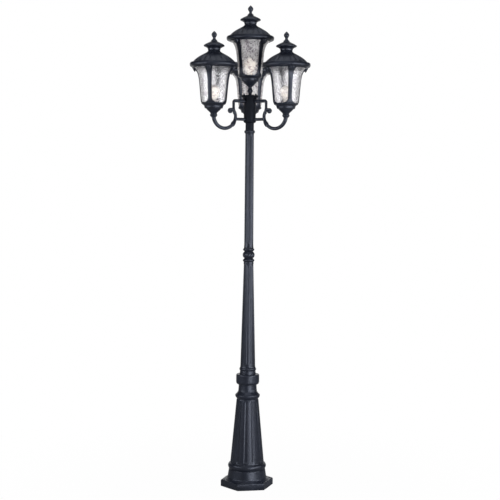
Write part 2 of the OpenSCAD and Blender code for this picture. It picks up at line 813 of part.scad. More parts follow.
// Pear-shaped glass of the bulb, one millimetre thick and open where the cap closes it
module bulb_glass() {
    neck = bulb_cap_r - 0.6;
    low = cap_low + bulb_cap_h;
    shell = 1;
    // The sphere runs down to this angle, and two steps lead from there to the neck
    turn = -38;
    color(clear_glass)
    turned(concat([[neck - shell, low], [neck, low], [neck + 1.5, low + 5]],
        [[neck + (bulb_r * cos(turn) - neck) * 0.55, low + (bulb_z + bulb_r * sin(turn) - low) * 0.62]],
        arc(0, bulb_z, bulb_r, turn, 90, 12),
        arc(0, bulb_z, bulb_r - shell, 90, turn, 12),
        [[neck + (bulb_r * cos(turn) - neck) * 0.55 - shell,
            low + (bulb_z + bulb_r * sin(turn) - low) * 0.62],
        [neck + 1.5 - shell, low + 5]]));
}

// The two places of the strap's screws, at the height of the flange's ledge
module at_strap_screws() {
    for (a = [45, 225])
        rotate([0, 0, a])
            translate([strap_screw_at, 0, strap_z])
                children();
}

// Flat bar across the flange, with the rod's hole in its middle
module roof_straps() {
    half = flange_r - roof_seat - 0.5;
    color(steel)
    for (i = [0:3])
        at_place(i)
            difference() {
                rotate([0, 0, 45])
                    translate([-half, -strap_w / 2, strap_z])
                        cube([2 * half, strap_w, strap_t]);
                translate([0, 0, strap_z - 1])
                    cylinder(r = rod_r + bolt_clear, h = strap_t + 2);
                at_strap_screws()
                    translate([0, 0, -1])
                        cylinder(r = strap_screw_r + bolt_clear, h = strap_t + 2);
            }
}

module strap_screws() {
    color(steel)
    for (i = [0:3])
        at_place(i)
            at_strap_screws() {
                translate([0, 0, -strap_screw_h])
                    cylinder(r = strap_screw_r, h = strap_screw_h + strap_t + 0.5);
                translate([0, 0, strap_t])
                    cylinder(r = strap_screw_r * 1.7, h = 1.5);
            }
}

module roof_rods() {
    color(steel)
    for (i = [0:3])
        at_place(i)
            translate([0, 0, rod_low])
                cylinder(r = rod_r, h = rod_top - rod_low);
}

// Two nuts that hold each rod to its strap
module rod_nuts() {
    color(steel)
    for (i = [0:3], z = [strap_z - rod_nut_h, strap_z + strap_t])
        at_place(i)
            translate([0, 0, z])
                difference() {
                    cylinder(d = rod_r * 3.4 / cos(30), h = rod_nut_h, $fn = 6);
                    translate([0, 0, -1])
                        cylinder(r = rod_r + 0.05, h = rod_nut_h + 2);
                }
}

// Fall of the roof's skin below its neck at the share w of the way out to the rim
function roof_fall(w) = roof_h * (0.12 * (1 - exp(-w / 0.03)) + 0.66 * w + 0.22 * pow(w, 4));
roof_steps = [0, 0.02, 0.05, 0.1, 0.18, 0.3, 0.45, 0.6, 0.75, 0.88, 1];
function roof_side(inset) =
    [for (w = roof_steps) [neck_r + (skin_r - neck_r) * w - inset * 0.6,
        neck_top - roof_fall(w) - inset]];

module roof() {
    hole = rod_r + 1.5;
    color(iron) {
        difference() {
            union() {
                turned(concat([[hole, neck_top], [neck_r, neck_top]], roof_side(0),
                    arc(rim_r - 7.5, skin_z - 7.5, 7.5, 90, 0, 4),
                    arc(rim_r - 7, rim_low + 7, 7, 0, -75, 4),
                    [[flange_r + move_clear, rim_low + 0.5], [flange_r + move_clear, roof_z],
                    [flange_r - roof_seat, roof_z], [flange_r - roof_seat, strap_z + strap_t + 3]],
                    [for (p = flip(roof_side(roof_wall))) if (p[0] < flange_r - 8 && p[1] > roof_z + 2) p],
                    [[hole, neck_top - roof_wall]]));
                // Lugs over the cage's ribs
                intersection() {
                    turned([[flange_r - roof_seat + 1, rim_low + 5],
                        [flange_r + move_clear, rim_low - 4],
                        [rim_r - 3, rim_low - 4], [rim_r + 1, rim_low + 2], [rim_r + 2, rim_low + 9],
                        [rim_r + 1.5, rim_low + 17], [rim_r - 3, rim_low + 23],
                        [skin_r - 4, skin_z + 3.5],
                        [flange_r - roof_seat + 1, strap_z + strap_t + 5]]);
                    for (a = [45, 135])
                        rotate([0, 0, a])
                            translate([-rim_r - 10, -ear_w / 2, 0])
                                cube([2 * rim_r + 20, ear_w, skin_z + 10]);
                }
            }
            // Room for the flange under the roof
            translate([0, 0, -10])
                cylinder(r = flange_r + move_clear, h = roof_z + 10);
        }
    }
}

// Hollow crown on the roof's neck: flares to its brim, with a dome above
module crown() {
    hole = rod_r + 1.5;
    color(iron)
    turned([[neck_r - 3, neck_top], [neck_r + 1, neck_top], [neck_r + 2, neck_top + 2],
        [neck_r + 3, neck_top + crown_h * 0.18], [neck_r + 7, neck_top + crown_h * 0.27],
        [crown_r - 5, neck_top + crown_h * 0.38], [crown_r, neck_top + crown_h * 0.46],
        [crown_r, neck_top + crown_h * 0.54], [crown_r - 7, neck_top + crown_h * 0.67],
        [crown_r * 0.62, neck_top + crown_h * 0.8], [crown_r * 0.42, neck_top + crown_h * 0.92],
        [crown_r * 0.3, crown_top], [hole, crown_top], [hole, crown_top - 8],
        [crown_r * 0.42, neck_top + crown_h * 0.74], [crown_r - 12, neck_top + crown_h * 0.56],
        [crown_r - 8, neck_top + crown_h * 0.49], [neck_r, neck_top + crown_h * 0.3],
        [neck_r - 2, neck_top + crown_h * 0.16]]);
}

// Bud on a flared foot, screwed down on the rod
module finial() {
    low = crown_top + move_clear;
    bud_z = low + finial_h * 0.64;
    color(iron)
    difference() {
        turned([[0, low], [bud_r + 1.5, low], [bud_r + 1.5, low + 3], [bud_r * 0.8, low + 7],
            [bud_r * 0.55, low + 12], [bud_r * 0.5, low + 16], [bud_r * 0.72, low + 22],
            [bud_r * 0.95, bud_z - 4], [bud_r, bud_z], [bud_r * 0.93, bud_z + 4],
            [bud_r * 0.62, bud_z + 11], [bud_r * 0.25, low + finial_h - 3],
            [0.8, low + finial_h], [0, low + finial_h]]);
        translate([0, 0, low - 1])
            cylinder(r = rod_r + thread_clear, h = finial_bore_h + 1);
    }
}

base_casting();
base_collar();
collar_screws();
base_pipe();
lower_shaft();
shaft_knuckle();
knuckle_pipe();
upper_shaft();
shaft_ring();
hub();
hub_pipe();
hub_cap();
cap_nuts();
top_stem();
arm_left();
arm_right();
arm_back();
arm_nuts();
arm_cups();
lamp_tubes();
lock_nuts();
shade_gaskets();
roof_straps();
strap_screws();
roof_rods();
rod_nuts();
// The pieces that each of the four lanterns has
for (i = [0:3]) {
    at_place(i) color(iron) cage();
    at_place(i) shade();
    at_place(i) socket();
    at_place(i) bulb_cap();
    at_place(i) bulb_glass();
    at_place(i) roof();
    at_place(i) crown();
    at_place(i) finial();
}
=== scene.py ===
import bpy
import json
import math
import numpy as np
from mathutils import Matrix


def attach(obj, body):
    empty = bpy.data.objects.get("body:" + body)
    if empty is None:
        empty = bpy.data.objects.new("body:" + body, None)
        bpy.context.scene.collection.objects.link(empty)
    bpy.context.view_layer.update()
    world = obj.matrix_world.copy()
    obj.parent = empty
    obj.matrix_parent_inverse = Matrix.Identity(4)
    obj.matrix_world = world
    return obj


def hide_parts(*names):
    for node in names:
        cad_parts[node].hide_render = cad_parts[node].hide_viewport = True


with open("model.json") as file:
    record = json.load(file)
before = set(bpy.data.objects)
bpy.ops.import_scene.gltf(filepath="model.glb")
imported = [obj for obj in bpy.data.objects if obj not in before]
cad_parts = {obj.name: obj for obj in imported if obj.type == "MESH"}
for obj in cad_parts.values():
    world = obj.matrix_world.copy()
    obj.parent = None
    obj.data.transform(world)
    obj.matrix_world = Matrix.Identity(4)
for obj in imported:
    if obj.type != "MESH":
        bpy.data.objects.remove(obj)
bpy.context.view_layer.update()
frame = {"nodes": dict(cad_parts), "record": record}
print("frame loaded,", len(frame["nodes"]), "nodes")

mm = 0.001
tau = 2 * math.pi

# Where the four lanterns stand: x, y, height of the bowl's underside, turn in degrees
armReach, sideHeight, topHeight = 205 * mm, 1852 * mm, 1995 * mm
armTurns = {"left": -150, "right": -30, "back": 90}
lanterns = {"top": (0.0, 0.0, topHeight, 0)}
for side, turnDeg in armTurns.items():
    turn = math.radians(turnDeg)
    lanterns[side] = (armReach * math.cos(turn), armReach * math.sin(turn), sideHeight, turnDeg)


# Faces over a grid of rings, each ring closed on itself. With wrap the last ring joins
# the first; without it each end closes on a point in the middle of its ring.
# The sum of a . (b x c) over the triangles is six times the volume, and tells if they
# face outwards.
def skin(rings, wrap=False):
    count, around = rings.shape[:2]
    points = rings.reshape(-1, 3)
    here = np.arange(count * around).reshape(count, around)
    beside = np.roll(here, -1, axis=1)
    quads = np.stack([here[:-1], beside[:-1], beside[1:], here[1:]], -1).reshape(-1, 4)
    tris = np.zeros((0, 3), int)
    if wrap:
        seam = np.stack([here[-1], beside[-1], beside[0], here[0]], -1)
        quads = np.vstack([quads, seam])
    else:
        first = len(points)
        points = np.vstack([points, rings[0].mean(0), rings[-1].mean(0)])
        tris = np.vstack([np.stack([beside[0], here[0], np.full(around, first)], -1),
                          np.stack([here[-1], beside[-1], np.full(around, first + 1)], -1)])
    corners = np.vstack([quads[:, [0, 1, 2]], quads[:, [0, 2, 3]], tris])
    a, b, c = (points[corners[:, k]] - points.mean(0) for k in range(3))
    if np.einsum("ij,ij->", a, np.cross(b, c)) < 0:
        quads, tris = quads[:, ::-1], tris[:, ::-1]
    return points, quads, tris


# One mesh object from several closed skins; faces are smooth, and edges sharper than
# the given angle stay sharp. replaced names the CAD nodes that it stands for.
def makePiece(name, skins, material, body, replaced=(), sharp=38):
    starts = np.cumsum([0] + [len(points) for points, quads, tris in skins])
    points = np.vstack([skinPart[0] for skinPart in skins])
    faces = []
    for start, (_, quads, tris) in zip(starts, skins):
        faces += (quads + start).tolist() + (tris + start).tolist()
    mesh = bpy.data.meshes.new(name)
    mesh.from_pydata(points.tolist(), [], faces)
    mesh.polygons.foreach_set("use_smooth", np.ones(len(mesh.polygons), bool))
    mesh.set_sharp_from_angle(angle=math.radians(sharp))
    mesh.materials.append(material)
    mesh.update()
    piece = bpy.data.objects.new(name, mesh)
    bpy.context.scene.collection.objects.link(piece)
    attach(piece, body)
    if replaced:
        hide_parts(*replaced)
    return piece


# Rounds an outline's corners: each corner becomes a parabola between two points that
# lie the given distance along its sides, or 0.45 of a shorter side.
def soften(outline, distance, steps=4):
    corner = np.asarray(outline, float)
    share = 0.45
    ahead = np.roll(corner, -1, 0) - corner
    behind = np.roll(corner, 1, 0) - corner
    lengthAhead = np.linalg.norm(ahead, axis=1, keepdims=True)
    lengthBehind = np.linalg.norm(behind, axis=1, keepdims=True)
    leave = corner + ahead / lengthAhead * np.minimum(distance, share * lengthAhead)
    enter = corner + behind / lengthBehind * np.minimum(distance, share * lengthBehind)
    t = np.linspace(0, 1, steps)[None, :, None]
    curve = (1 - t) ** 2 * enter[:, None] + 2 * t * (1 - t) * corner[:, None] + t ** 2 * leave[:, None]
    return curve.reshape(-1, 2)


# Adds points to a closed outline so that none of its sides is longer than the step.
def refine(outline, step):
    closed = np.vstack([outline, outline[:1]])
    along = np.concatenate([[0], np.cumsum(np.linalg.norm(np.diff(closed, axis=0), axis=1))])
    fine = np.unique(np.round(np.concatenate([along, np.arange(0, along[-1], step)]), 7))
    return np.stack([np.interp(fine, along, closed[:, k]) for k in (0, 1)], -1)[:-1]


# Surface of revolution: (r cos a, r sin a, z) for each profile point and angle. change
# takes the grids of r, z and a, and gives new r and z.
def turned(outline, around, change=None):
    angle = np.arange(around)[None, :] * tau / around
    radius = np.repeat(outline[:, :1], around, 1)
    height = np.repeat(outline[:, 1:], around, 1)
    if change:
        radius, height = change(radius, height, angle)
    return np.stack([radius * np.cos(angle), radius * np.sin(angle), height], -1)


# A closed skin turned from an outline with softened corners. cut holds the distance and
# the points of a corner, the longest step along the outline and the points round it.
def lathe(outline, cut, change=None):
    profile = refine(soften(outline, cut["corner"], cut.get("points", 4)), cut["step"])
    return skin(turned(profile, cut["around"], change), wrap=True)


# Turns grid points about Z, (x c - y s, x s + y c) with cosine c and sine s of the turn, and
# moves them to their place.
def placed(points, x, y, z, turnDeg):
    c, s = math.cos(math.radians(turnDeg)), math.sin(math.radians(turnDeg))
    spin = np.array([[c, s, 0], [-s, c, 0], [0, 0, 1]])
    return points @ spin + np.array([x, y, z])


def atPlace(skins, place):
    return [(placed(points, *place), quads, tris) for points, quads, tris in skins]


# Round tube along a path in the upright plane through the arm. At each point the ring is
# centre + r (cos a * side + sin a * Y), with side square to the path in that plane.
# Both ends close with a quarter-round, tip times as long as the radius there.
endRings = 4


def tube(path, radius, around=28, tip=0.6):
    heading = np.gradient(path, axis=0)
    heading /= np.linalg.norm(heading, axis=1, keepdims=True)
    ends = np.linspace(0, 0.5 * math.pi, endRings + 1)[:-1]
    startPath = path[0] - heading[0] * (np.cos(ends) * radius[0] * tip)[:, None]
    endPath = path[-1] + heading[-1] * (np.cos(ends[::-1]) * radius[-1] * tip)[:, None]
    full = np.vstack([startPath, path, endPath])
    same = (endRings, 1)
    heading = np.vstack([np.tile(heading[0], same), heading, np.tile(heading[-1], same)])
    width = np.concatenate([radius[0] * np.sin(ends), radius, radius[-1] * np.sin(ends[::-1])])
    width = np.maximum(width, 0.02 * mm)  # the ring at a tip stays a ring
    angle = np.arange(around)[None, :] * tau / around
    side = np.stack([heading[:, 1], np.zeros(len(full)), -heading[:, 0]], -1)
    centre = np.stack([full[:, 0], np.zeros(len(full)), full[:, 1]], -1)
    across = np.array([0, 1.0, 0])
    rings = centre[:, None] + width[:, None, None] * (
        np.cos(angle)[..., None] * side[:, None] + np.sin(angle)[..., None] * across)
    return centre, rings, width


# Points at even angles of a circle: centre + r (cos a, sin a).
def arc(cx, cz, r, startDeg, endDeg, steps):
    a = np.radians(np.linspace(startDeg, endDeg, steps))
    return np.stack([cx + r * np.cos(a), cz + r * np.sin(a)], -1)


# Points at even steps of the line between two points.
def straight(x0, z0, x1, z1, steps):
    return np.stack([np.linspace(x0, x1, steps), np.linspace(z0, z1, steps)], -1)


# Share t of the way from low to high, eased at both ends: t^2 (3 - 2 t).
def smoothStep(value, low, high):
    t = np.clip((value - low) / (high - low), 0, 1)
    return t * t * (3 - 2 * t)


# Depth of the flutes at each angle and height: (1 - x^2)^0.8 across each flute, with x from
# -1 to 1. Towards low and high a flute narrows to a round end of the length tip, and its
# depth fades by the power 0.6 of that opening.
def fluteDepth(angle, height, flutes):
    pitch = tau / flutes["count"]
    across = (angle - math.radians(flutes["turn"]) + pitch / 2) % pitch - pitch / 2
    nearLow = np.clip((height - flutes["low"]) / flutes["tip"], 0, 1)
    nearHigh = np.clip((flutes["high"] - height) / flutes["tip"], 0, 1)
    opening = np.sqrt(1 - (1 - nearLow) ** 2) * np.sqrt(1 - (1 - nearHigh) ** 2)
    x = across / (pitch * flutes["share"] / 2) / np.maximum(opening, 1e-3)
    return flutes["depth"] * opening ** 0.6 * np.clip(1 - x ** 2, 0, 1) ** 0.8


# A node of a shader tree. A value that isn't a setting of the node itself goes to the
# input of its name, where _ stands for a space.
def nodeOf(tree, kind, x=0, y=0, **values):
    node = tree.nodes.new(kind)
    node.location = (x, y)
    for key, value in values.items():
        if hasattr(node, key):
            setattr(node, key, value)
        else:
            node.inputs[key.replace("_", " ")].default_value = value
    return node


def setInputs(node, values):
    for label, value in values.items():
        node.inputs[label].default_value = value


def newGroup(name, inputs, outputs):
    group = bpy.data.node_groups.new(name, "ShaderNodeTree")
    for direction, labels in (("INPUT", inputs), ("OUTPUT", outputs)):
        for label in labels:
            kind = "NodeSocketVector" if label == "Vector" else "NodeSocketFloat"
            group.interface.new_socket(name=label, in_out=direction, socket_type=kind)
    return group, nodeOf(group, "NodeGroupInput", -900), nodeOf(group, "NodeGroupOutput", 700)


# A value spread from one range to another
def ranged(tree, value, fromLow, fromHigh, toLow=0.0, toHigh=1.0, ease="LINEAR"):
    node = nodeOf(tree, "ShaderNodeMapRange", -300, -100, interpolation_type=ease,
                  From_Min=fromLow, From_Max=fromHigh, To_Min=toLow, To_Max=toHigh)
    tree.links.new(value, node.inputs["Value"])
    return node.outputs["Result"]


# One value times a weight, plus another value
def weighted(tree, value, weight, added):
    node = nodeOf(tree, "ShaderNodeMath", -300, 100, operation="MULTIPLY_ADD")
    tree.links.new(value, node.inputs[0])
    node.inputs[1].default_value = weight
    tree.links.new(added, node.inputs[2])
    return node.outputs[0]


def mixColours(tree, factor, low, high):
    mix = nodeOf(tree, "ShaderNodeMix", -300, 200, data_type="RGBA")
    tree.links.new(factor, mix.inputs["Factor"])
    setInputs(mix, {"A": (*low, 1), "B": (*high, 1)})
    return mix.outputs["Result"]


def mixShaders(tree, factor, low, high):
    mix = nodeOf(tree, "ShaderNodeMixShader", 100, 100)
    for place, source in enumerate((factor, low, high)):
        tree.links.new(source, mix.inputs[place])
    return mix.outputs[0]


# Sprayed texture of the coat: fine pebbles and slower waves added for the height, and a
# slow cloud for the tone. The specks are the gaps between the pebbles.
def makeCoatGrain():
    group, given, out = newGroup("coatGrain", ["Vector", "Pebbles", "Waves", "Cloud"],
                                 ["Height", "Tone", "Specks"])
    link = group.links.new
    pebbles = nodeOf(group, "ShaderNodeTexVoronoi", -600, 250, feature="SMOOTH_F1", Smoothness=0.6)
    waves = nodeOf(group, "ShaderNodeTexNoise", -600, 0, Detail=3.0, Roughness=0.55)
    cloud = nodeOf(group, "ShaderNodeTexNoise", -600, -250, Detail=4.0, Roughness=0.6)
    for node, label in ((pebbles, "Pebbles"), (waves, "Waves"), (cloud, "Cloud")):
        link(given.outputs["Vector"], node.inputs["Vector"])
        link(given.outputs[label], node.inputs["Scale"])
    height = weighted(group, waves.outputs["Fac"], 0.8, pebbles.outputs["Distance"])
    link(height, out.inputs["Height"])
    link(ranged(group, cloud.outputs["Fac"], 0.3, 0.7), out.inputs["Tone"])
    link(ranged(group, pebbles.outputs["Distance"], 0.25, 0.65), out.inputs["Specks"])
    return group


# Ripples of drawn glass: two folded noises, the fine one 2.6 times as dense as the big one, added for the
# height. The mottle is the crests of that height, where the glass takes its tint: partly the glass's own tone,
# partly painted shade for the dark parts seen through the ripples.
def makeGlassRipple():
    group, given, out = newGroup("glassRipple", ["Vector", "Size", "Fold"], ["Height", "MottleShade"])
    link = group.links.new
    big = nodeOf(group, "ShaderNodeTexNoise", -500, 150, Detail=2.0, Roughness=0.5)
    fine = nodeOf(group, "ShaderNodeTexNoise", -500, -150, Detail=1.0, Roughness=0.4)
    denser = nodeOf(group, "ShaderNodeMath", -700, -150, operation="MULTIPLY")
    denser.inputs[1].default_value = 2.6
    link(given.outputs["Size"], denser.inputs[0])
    for node, scale in ((big, given.outputs["Size"]), (fine, denser.outputs[0])):
        link(scale, node.inputs["Scale"])
        link(given.outputs["Vector"], node.inputs["Vector"])
        link(given.outputs["Fold"], node.inputs["Distortion"])
    height = weighted(group, fine.outputs["Fac"], 0.35, big.outputs["Fac"])
    link(height, out.inputs["Height"])
    link(ranged(group, height, 0.67, 0.77), out.inputs["MottleShade"])
    return group


coatGrain = makeCoatGrain()
glassRipple = makeGlassRipple()


def newMaterial(name):
    material = bpy.data.materials.new(name)
    material.use_nodes = True
    tree = material.node_tree
    return material, tree, tree.nodes["Principled BSDF"], nodeOf(tree, "ShaderNodeTexCoord", -1200, 0)


def addBump(tree, shader, height, look):
    bump = nodeOf(tree, "ShaderNodeBump", -300, -400, Strength=look["bump"], Distance=look["bumpHeight"])
    tree.links.new(height, bump.inputs["Height"])
    tree.links.new(bump.outputs["Normal"], shader.inputs["Normal"])


# A coat or metal with the sprayed grain: tone between two colours, gloss between two
# roughnesses, and the grain as bump.
def grainedMaterial(name, look):
    material, tree, shader, coords = newMaterial(name)
    grain = nodeOf(tree, "ShaderNodeGroup", -700, 0, node_tree=coatGrain)
    setInputs(grain, {label: look[label.lower()] for label in ("Pebbles", "Waves", "Cloud")})
    tree.links.new(coords.outputs["Object"], grain.inputs["Vector"])
    tone = mixColours(tree, grain.outputs["Tone"], look["dark"], look["pale"])
    tree.links.new(tone, shader.inputs["Base Color"])
    rough = ranged(tree, grain.outputs["Specks"], 0.0, 1.0, *look["gloss"])
    tree.links.new(rough, shader.inputs["Roughness"])
    addBump(tree, shader, grain.outputs["Height"], look)
    setInputs(shader, {"Metallic": look["metal"], "Specular IOR Level": look["sheen"],
                       "Specular Tint": (*look.get("glint", (1, 1, 1)), 1)})
    return material


paint = {"metal": 0.0, "glint": (0.8, 0.85, 1.0), "pebbles": 620.0, "waves": 120.0, "cloud": 11.0}
castPaint = grainedMaterial("castPaint", {
    **paint, "dark": (0.006, 0.007, 0.012), "pale": (0.012, 0.015, 0.026), "gloss": (0.28, 0.4),
    "bump": 0.4, "bumpHeight": 0.35 * mm, "sheen": 0.8})
# A darker, less glossy copy of castPaint for the hub and its cap: painted shade, as the hub stands in the
# shadow of the lanterns and arms.
hubShadePaint = grainedMaterial("hubShadePaint", {
    **paint, "dark": (0.005, 0.006, 0.009), "pale": (0.009, 0.011, 0.017), "gloss": (0.45, 0.6),
    "bump": 0.5, "bumpHeight": 0.4 * mm, "sheen": 0.3})
zincSteel = grainedMaterial("zincSteel", {
    "dark": (0.42, 0.43, 0.44), "pale": (0.6, 0.61, 0.62), "gloss": (0.25, 0.42),
    "bump": 0.2, "bumpHeight": 0.1 * mm, "metal": 1.0, "sheen": 0.5,
    "pebbles": 900.0, "waves": 240.0, "cloud": 60.0})
capBrass = grainedMaterial("capBrass", {
    "dark": (0.45, 0.3, 0.1), "pale": (0.66, 0.48, 0.2), "gloss": (0.22, 0.4),
    "bump": 0.15, "bumpHeight": 0.1 * mm, "metal": 1.0, "sheen": 0.5,
    "pebbles": 900.0, "waves": 300.0, "cloud": 80.0})
socketWhite = grainedMaterial("socketWhite", {
    "dark": (0.66, 0.64, 0.6), "pale": (0.78, 0.77, 0.74), "gloss": (0.15, 0.25),
    "bump": 0.1, "bumpHeight": 0.1 * mm, "metal": 0.0, "sheen": 0.5,
    "pebbles": 500.0, "waves": 90.0, "cloud": 40.0})
gasketRubber = grainedMaterial("gasketRubber", {
    "dark": (0.012, 0.012, 0.012), "pale": (0.03, 0.03, 0.03), "gloss": (0.6, 0.8),
    "bump": 0.3, "bumpHeight": 0.15 * mm, "metal": 0.0, "sheen": 0.3,
    "pebbles": 800.0, "waves": 160.0, "cloud": 50.0})


# Clear glass with ripples as bump, and a tint that follows them. It may carry a painted glow from inside, as a
# lit bulb would give, though the bulb is not lit.
def glassMaterial(name, look):
    material, tree, shader, coords = newMaterial(name)
    ripple = nodeOf(tree, "ShaderNodeGroup", -700, 0, node_tree=glassRipple)
    setInputs(ripple, {"Size": look["size"], "Fold": look["fold"]})
    tree.links.new(coords.outputs["Object"], ripple.inputs["Vector"])
    # The crests take the tint: the glass's own tone and painted shade for dark parts seen through it.
    tone = mixColours(tree, ripple.outputs["MottleShade"], look["clear"], look["tint"])
    tree.links.new(tone, shader.inputs["Base Color"])
    addBump(tree, shader, ripple.outputs["Height"], look)
    # Emission here is a painted glow; only the top bulb has any.
    setInputs(shader, {"Transmission Weight": look["through"], "Roughness": look["rough"], "IOR": 1.45,
                       "Emission Color": (1.0, 0.93, 0.82, 1), "Emission Strength": look.get("glow", 0.0)})
    # Lamps shine through the glass onto the bulb: a shadow ray meets clear glass
    paths = nodeOf(tree, "ShaderNodeLightPath", 100, 400)
    clear = nodeOf(tree, "ShaderNodeBsdfTransparent", 100, -100)
    either = mixShaders(tree, paths.outputs["Is Shadow Ray"], shader.outputs[0], clear.outputs[0])
    tree.links.new(either, tree.nodes["Material Output"].inputs["Surface"])
    return material


# The bells of the top and the back lantern are pressed more deeply than the two in front, and the top bulb has
# a warm painted glow, though the bulb is not lit.
rippledGlass = glassMaterial("rippledGlass", {
    "clear": (1.0, 1.0, 1.0), "tint": (0.72, 0.69, 0.73), "rough": 0.07, "through": 0.98,
    "bump": 0.45, "bumpHeight": 2.5 * mm, "size": 80.0, "fold": 1.5})
deepGlass = glassMaterial("deepGlass", {
    "clear": (1.0, 0.985, 0.97), "tint": (0.45, 0.41, 0.44), "rough": 0.2, "through": 0.7,
    "bump": 0.6, "bumpHeight": 3.0 * mm, "size": 60.0, "fold": 1.8})
bulbLook = {"clear": (1.0, 0.96, 0.9), "tint": (1.0, 0.94, 0.86), "rough": 0.3, "through": 0.3,
            "bump": 0.05, "bumpHeight": 0.1 * mm, "size": 20.0, "fold": 0.5}
bulbGlass = glassMaterial("bulbGlass", bulbLook)
paintedGlowBulb = glassMaterial("paintedGlowBulb", {**bulbLook, "glow": 0.3})

slotMaterials = {"cast_paint": castPaint, "zinc_steel": zincSteel, "gasket_rubber": gasketRubber,
                 "shade_glass": rippledGlass, "socket_ceramic": socketWhite, "cap_brass": capBrass,
                 "bulb_glass": bulbGlass}
for part in frame["record"]["subparts"]:
    # The hub and its cap get the darker copy of the paint: painted shade.
    inHubShade = part["node"] in ("hub", "hub_cap")
    nodeMesh = frame["nodes"][part["node"]].data
    nodeMesh.materials.clear()
    nodeMesh.materials.append(hubShadePaint if inHubShade else slotMaterials[part["material_slot"]])
print("materials made and given to the CAD nodes")


# The foot's plate with its six anchor holes, and the cuts and flutes of its turned body
foot = {"plateRadius": 132 * mm, "plateHeight": 33 * mm, "inner": 92 * mm, "chamfer": 4 * mm, "turn": 10,
        "holeCircle": 114 * mm, "holeRadius": 5.5 * mm, "seatRadius": 10 * mm, "seatDepth": 0.5 * mm,
        "ease": 0.4 * mm, "holeSteps": 72, "corner": 1.6 * mm, "step": 5 * mm, "around": 240,
        "insideHeights": [117 * mm, 429 * mm], "insideRadii": [78 * mm, 50 * mm]}
footFluting = {"count": 12, "turn": 23, "share": 0.36, "depth": 2.6 * mm, "tip": 12 * mm,
               "low": 121 * mm, "high": 426 * mm}


# One sixth of the plate round its anchor hole. A ray from the hole's middle meets the
# sector's edge at distance d(a); the surface runs from the hole's wall over the seat and
# the top to that edge, down the side and back along the bottom.
def plateSector(index):
    middle = math.radians(foot["turn"] + 60 * index)
    apothem = foot["plateRadius"] * math.cos(math.radians(30))
    turns = middle + np.radians([-30, -30, 0, 30, 30])
    reach = np.array([foot["inner"], apothem, foot["plateRadius"], apothem, foot["inner"]])
    corner = np.stack([reach * np.cos(turns), reach * np.sin(turns)], -1)
    hole = foot["holeCircle"] * np.array([math.cos(middle), math.sin(middle)])
    towards = np.arctan2(corner[:, 1] - hole[1], corner[:, 0] - hole[0])
    angle = np.linspace(-math.pi, math.pi, foot["holeSteps"], endpoint=False)
    angle = np.sort(np.concatenate([angle, towards]))
    ray = np.stack([np.cos(angle), np.sin(angle)], -1)
    start, side = corner - hole, np.roll(corner, -1, 0) - corner
    cross = ray[:, None, 0] * side[None, :, 1] - ray[:, None, 1] * side[None, :, 0]
    cross = np.where(abs(cross) < 1e-12, 1e-12, cross)
    distance = (start[:, 0] * side[:, 1] - start[:, 1] * side[:, 0]) / cross
    along = (start[None, :, 0] * ray[:, None, 1] - start[None, :, 1] * ray[:, None, 0]) / cross
    slack, far = 1e-6, 1.0
    hit = (distance > 0) & (along > -slack) & (along < 1 + slack)
    distance = np.where(hit, distance, far)
    edge = distance.argmin(1)
    reach = distance.min(1)
    outer = ((edge == 1) | (edge == 2)).astype(float)  # the two edges that show
    top, seat, ease = foot["plateHeight"], foot["plateHeight"] - foot["seatDepth"], foot["ease"]
    # The chamfer's two ends are eased: a long and a short step from the edge, and their slope
    long, short, slope = foot["chamfer"] + 1 * mm, foot["chamfer"] - 0.6 * mm, 0.3 * mm
    rows = [(foot["holeRadius"], 0), (foot["holeRadius"], seat - ease), (foot["holeRadius"] + ease, seat),
            (foot["seatRadius"], seat), (foot["seatRadius"] + ease, top), (reach - long * outer, top),
            (reach - short * outer, top - slope * outer), (reach - slope * outer, top - short * outer),
            (reach, top - long * outer), (reach, 1 * mm), (reach - 1 * mm * outer, 0)]
    rings = [np.stack([hole[0] + r * ray[:, 0], hole[1] + r * ray[:, 1], z + 0 * reach], -1) for r, z in rows]
    return skin(np.stack(rings), wrap=True)


# The foot's radius less the depth of its flutes, outside the line of insideRadii.
def footFlutes(radius, height, angle):
    outside = radius > np.interp(height, foot["insideHeights"], foot["insideRadii"])
    return radius - fluteDepth(angle, height, footFluting) * outside, height


footOutline = np.array([
    (77, 0.3), (96, 0.3), (99, 20), (112, 31.6), (106, 35.5), (99, 40), (97.5, 43), (96.5, 44), (90.5, 83.5),
    (88.5, 84.5), (88.5, 86.5), (91.5, 90), (94, 95.5), (94.6, 101), (93.5, 107), (90, 112.5), (87, 114.5),
    (85.5, 115), (83.5, 117.5), (54.7, 429), (53.2, 431), (53.2, 434.5), (55.5, 437.5), (59.2, 441), (61, 446),
    (61.5, 451), (60.6, 454.5), (57.5, 456.5), (55, 459), (49.5, 466), (46.5, 470), (46.8, 474), (45.8, 477),
    (44.5, 502), (44.5, 505), (32, 505), (32, 470), (40, 462), (44.5, 429), (73, 117), (80, 85)]) * mm
footSkins = [lathe(footOutline, foot, footFlutes)] + [plateSector(k) for k in range(6)]
makePiece("footCasting", footSkins, castPaint, "post", ["base_casting"], sharp=50)
print("foot made")


